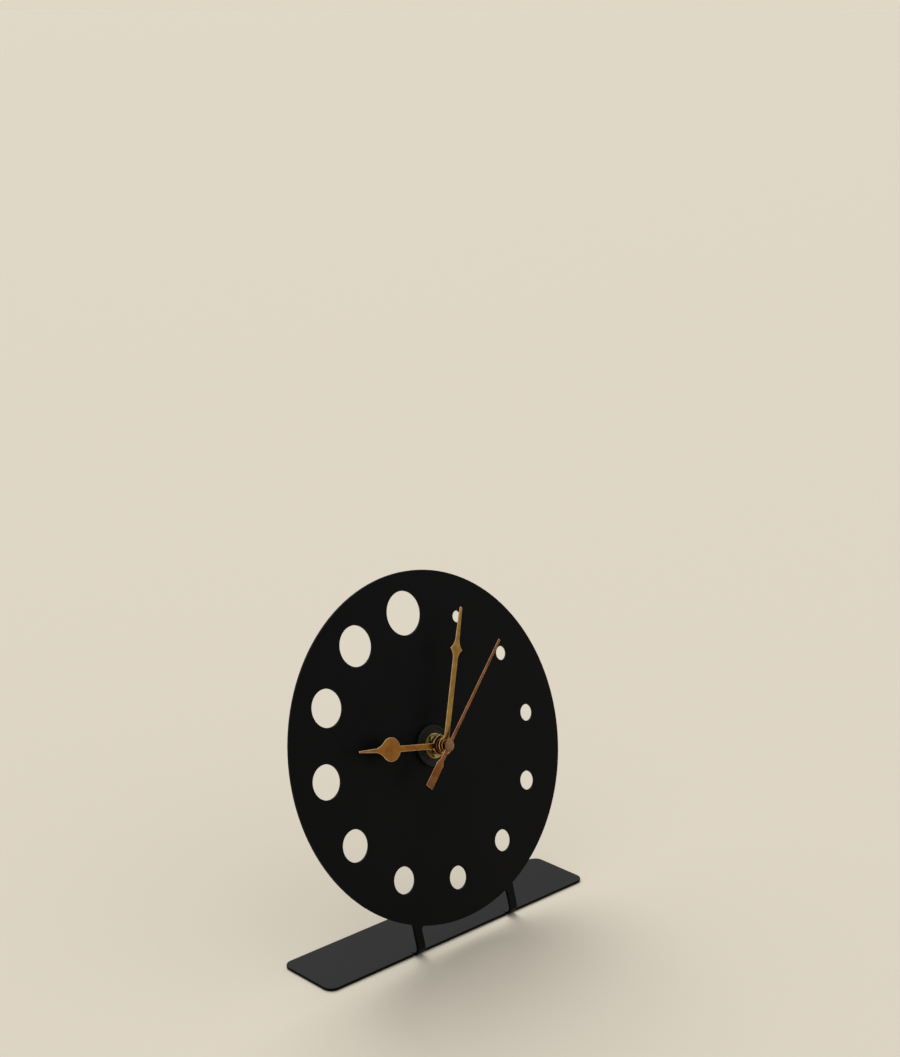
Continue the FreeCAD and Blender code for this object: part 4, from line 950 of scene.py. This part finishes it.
@dataclass
class Movement:
    """Quartz movement behind the dial: case, cover, knob, cell and what is inside."""

    abs_black: Moulding = Moulding("abs_moulded_spark_eroded", "#19191a", "#222223")
    plate_resin: Moulding = Moulding("filled_styrene_moulded", "#202021", "#2a2a2b", rough=(0.35, 0.5))
    acetal: Moulding = Moulding("acetal_moulded_natural", "#e4e1d6", "#f0eee6", rough=(0.3, 0.42),
                                crater_depth_mm=0.003, through=0.15)
    nylon: Moulding = Moulding("nylon_moulded_natural", "#cfcab8", "#dedacb", rough=(0.35, 0.5),
                               crater_depth_mm=0.004, through=0.1)
    resin: Moulding = Moulding("epoxy_resin_dropped", "#0b0b0c", "#131314", rough=(0.15, 0.3),
                               crater_depth_mm=0.004)
    laminate: Moulding = Moulding("paper_laminate_pressed", "#7d5a2c", "#94703a", rough=(0.3, 0.42),
                                  crater_depth_mm=0.006)
    ferrite: Moulding = Moulding("ferrite_pressed_sintered", "#262425", "#34312f", rough=(0.5, 0.65))
    steel: Metal = Metal("spring_steel_drawn", "#8f9091", "#b4b5b6", Grain.TURNED, rough=(0.18, 0.3))
    iron: Metal = Metal("soft_iron_blanked", "#77787a", "#94969a", Grain.ROLLED, rough=(0.3, 0.45))
    nickel: Metal = Metal("nickel_plated_strip", "#a3a29d", "#c5c4be", Grain.ROLLED, rough=(0.16, 0.28))
    can: Metal = Metal("nickel_silver_can_drawn", "#a5a6a8", "#c8c9cb", Grain.ROLLED, rough=(0.12, 0.22))
    tube: Metal = Metal("brass_tube_turned", "#96794a", "#bd9c62", Grain.TURNED)
    winding: Winding = field(default_factory=Winding)

    def build(self) -> None:
        """Builds the outer pieces and dresses the inner ones."""
        black = self.abs_black.material()
        for node, body, edge_mm in (("movement_case", "stand", 0.3), ("rear_cover", "stand", 0.2),
                                    ("setting_knob", "knob", 0.2)):
            finish_piece(softened_copy(node, f"moulded_{node}", edge_mm), body, black)
        CoverMarks().build(black)
        Latches().build(black)
        Cell().build()
        self.dress_inner_pieces()

    def dress_inner_pieces(self) -> None:
        """Gives each solid that stays its own material."""
        for finish, nodes in (
            (self.plate_resin, ("middle_plate", "rear_plate")),
            (self.acetal, ("rotor_pinion", "intermediate_wheel", "seconds_wheel", "third_wheel",
                           "centre_wheel", "minute_wheel", "hour_wheel")),
            (self.nylon, ("coil_bobbin",)),
            (self.resin, ("driver_chip",)),
            (self.laminate, ("circuit_board",)),
            (self.ferrite, ("rotor_magnet",)),
            (self.steel, ("seconds_arbor",)),
            (self.iron, ("stator", "coil_core")),
            (self.nickel, ("positive_contact", "negative_contact")),
            (self.can, ("quartz_crystal",)),
            (self.tube, ("minute_arbor",)),
            (self.winding, ("coil_winding",)),
        ):
            material = finish.material()
            for node in nodes:
                dress_node(node, material)


@dataclass
class Studio:
    """Camera, floor, soft lamp and sky."""

    camera_place: tuple[float, float, float] = (-0.60610, -0.64738, 0.45068)
    heading: float = math.radians(43.43267)
    pitch: float = math.radians(-15.40811)
    # 1926.4 pixels of focal length on the picture's 1057-pixel side and a 36 mm sensor.
    lens_mm: float = 65.61
    near_clip: float = 0.01
    floor_colour: str = "#e9e0cf"
    floor_radius: float = 80.0
    floor_sides: int = 96
    floor_rough: float = 0.9
    floor_shine: float = 0.1
    fibre_mm: float = 1.2
    fibre_depth_mm: float = 0.02
    sky_colour: str = "#efefef"
    # What the camera sees past the floor's edge: the paper's own tone.
    paper_seen: str = "#e0d7c5"
    # Light of the sky on matt surfaces, and as polished surfaces see it.
    sky_light: float = 0.55
    sky_seen: float = 0.85
    # The lamp stands behind the clock, to the right, and is seen over a wide angle.
    lamp_place: tuple[float, float, float] = (0.32, 0.55, 0.77)
    lamp_spread: float = math.radians(45)
    lamp_strength: float = 1.7
    lamp_colour: str = "#fffefb"

    def build(self) -> None:
        """Builds the studio round the clock."""
        self.camera()
        self.floor()
        self.sky()
        self.lamp()

    def camera(self) -> None:
        """Sets the camera at the photograph's angle, with no roll and no shift."""
        bpy.ops.object.camera_add(location=self.camera_place,
                                  rotation=Euler((math.pi / 2 + self.pitch, 0.0, -self.heading)))
        camera = bpy.context.object
        camera.name = "photograph_camera"
        camera.data.lens = self.lens_mm
        camera.data.clip_start = self.near_clip
        bpy.context.scene.camera = camera

    def floor(self) -> None:
        """Lays a large pale sheet under the clock."""
        deselect_all()
        bpy.ops.mesh.primitive_circle_add(vertices=self.floor_sides, radius=self.floor_radius,
                                          fill_type="NGON")
        floor = bpy.context.object
        floor.name = "studio_floor"
        surface = Surface("seamless_paper_matt")
        fibre = surface.noise(surface.object_coordinates(), self.fibre_mm)
        floor.data.materials.append(surface.shade(
            Base_Color=linear(self.floor_colour), Roughness=self.floor_rough,
            Specular_IOR_Level=self.floor_shine, Normal=surface.bump(fibre, self.fibre_depth_mm)))

    def sky(self) -> None:
        """Lights the clock evenly from all round; the camera sees paper, polished surfaces a brighter sky."""
        world = bpy.data.worlds.new("soft_sky")
        world.use_nodes = True
        tree = world.node_tree
        background = next(n for n in tree.nodes if n.type == "BACKGROUND")
        ray = tree.nodes.new("ShaderNodeLightPath")
        colour = tree.nodes.new("ShaderNodeMix")
        colour.data_type = "RGBA"
        colour.inputs[6].default_value = linear(self.sky_colour)
        paper = (tone / self.sky_light for tone in linear(self.paper_seen)[:3])
        colour.inputs[7].default_value = (*paper, 1.0)
        tree.links.new(ray.outputs["Is Camera Ray"], colour.inputs[0])
        tree.links.new(colour.outputs[2], background.inputs["Color"])
        strength = tree.nodes.new("ShaderNodeMapRange")
        strength.inputs["To Min"].default_value = self.sky_light
        strength.inputs["To Max"].default_value = self.sky_seen
        tree.links.new(ray.outputs["Is Glossy Ray"], strength.inputs["Value"])
        tree.links.new(strength.outputs["Result"], background.inputs["Strength"])
        bpy.context.scene.world = world

    def lamp(self) -> None:
        """Adds one wide soft lamp, far away."""
        towards = Vector(self.lamp_place)
        bpy.ops.object.light_add(type="SUN", location=towards,
                                 rotation=(-towards).to_track_quat("-Z", "Y").to_euler())
        lamp = bpy.context.object
        lamp.name = "overhead_softbox"
        lamp.data.angle = self.lamp_spread
        lamp.data.energy = self.lamp_strength
        lamp.data.color = linear(self.lamp_colour)[:3]


def hands() -> tuple[Hand, Hand, Hand]:
    """Describes the three hands, whose grain lies along each as it stands at rest.

    Returns:
        The hour, minute and second hand.
    """
    # The pale metals are painted highlights: lighter brass and copper on each blade's rounded edges and
    # sides, where light would catch them.
    brass_edge_highlight = Metal("brass_painted_edge_highlight", "#cba874", "#e4c698", Grain.STRAIGHT, rough=(0.25, 0.35))
    copper_edge_highlight = Metal("copper_painted_edge_highlight", "#cf9f78", "#e6bd9c", Grain.STRAIGHT, rough=(0.25, 0.35))
    return (
        Hand("hour_hand", "hour_hand_collet", "hours", "hand_brass",
             Metal("brass_stamped_gold_coat_hour", "#7a4a22", "#9c6c2e", Grain.STRAIGHT, 281.3), brass_edge_highlight,
             Metal("brass_turned_gold_coat_hour", "#8a6230", "#b08a4c", Grain.TURNED)),
        Hand("minute_hand", "minute_hand_collet", "minutes", "hand_brass",
             Metal("brass_stamped_gold_coat_minute", "#85602e", "#a4803f", Grain.STRAIGHT, 23.8), brass_edge_highlight,
             Metal("brass_turned_gold_coat_minute", "#8a6230", "#b08a4c", Grain.TURNED)),
        Hand("second_hand", "second_hand_hub", "seconds", "second_hand_brass",
             Metal("brass_stamped_copper_coat", "#6c3d1e", "#8c5d34", Grain.STRAIGHT, 47.6), copper_edge_highlight,
             Metal("brass_domed_copper_coat", "#6e5038", "#94704f", Grain.TURNED), edge_mm=0.13),
    )


def main() -> None:
    """Builds the studio and the clock, piece by piece."""
    logging.basicConfig(level=logging.INFO, format="%(name)s: %(message)s")
    bpy.context.scene.view_settings.view_transform = "Standard"
    Studio().build()
    FoldedStand().build()
    FixingStack().build()
    for hand in hands():
        hand.build()
    Movement().build()
    deselect_all()


if __name__ == "__main__":
    main()
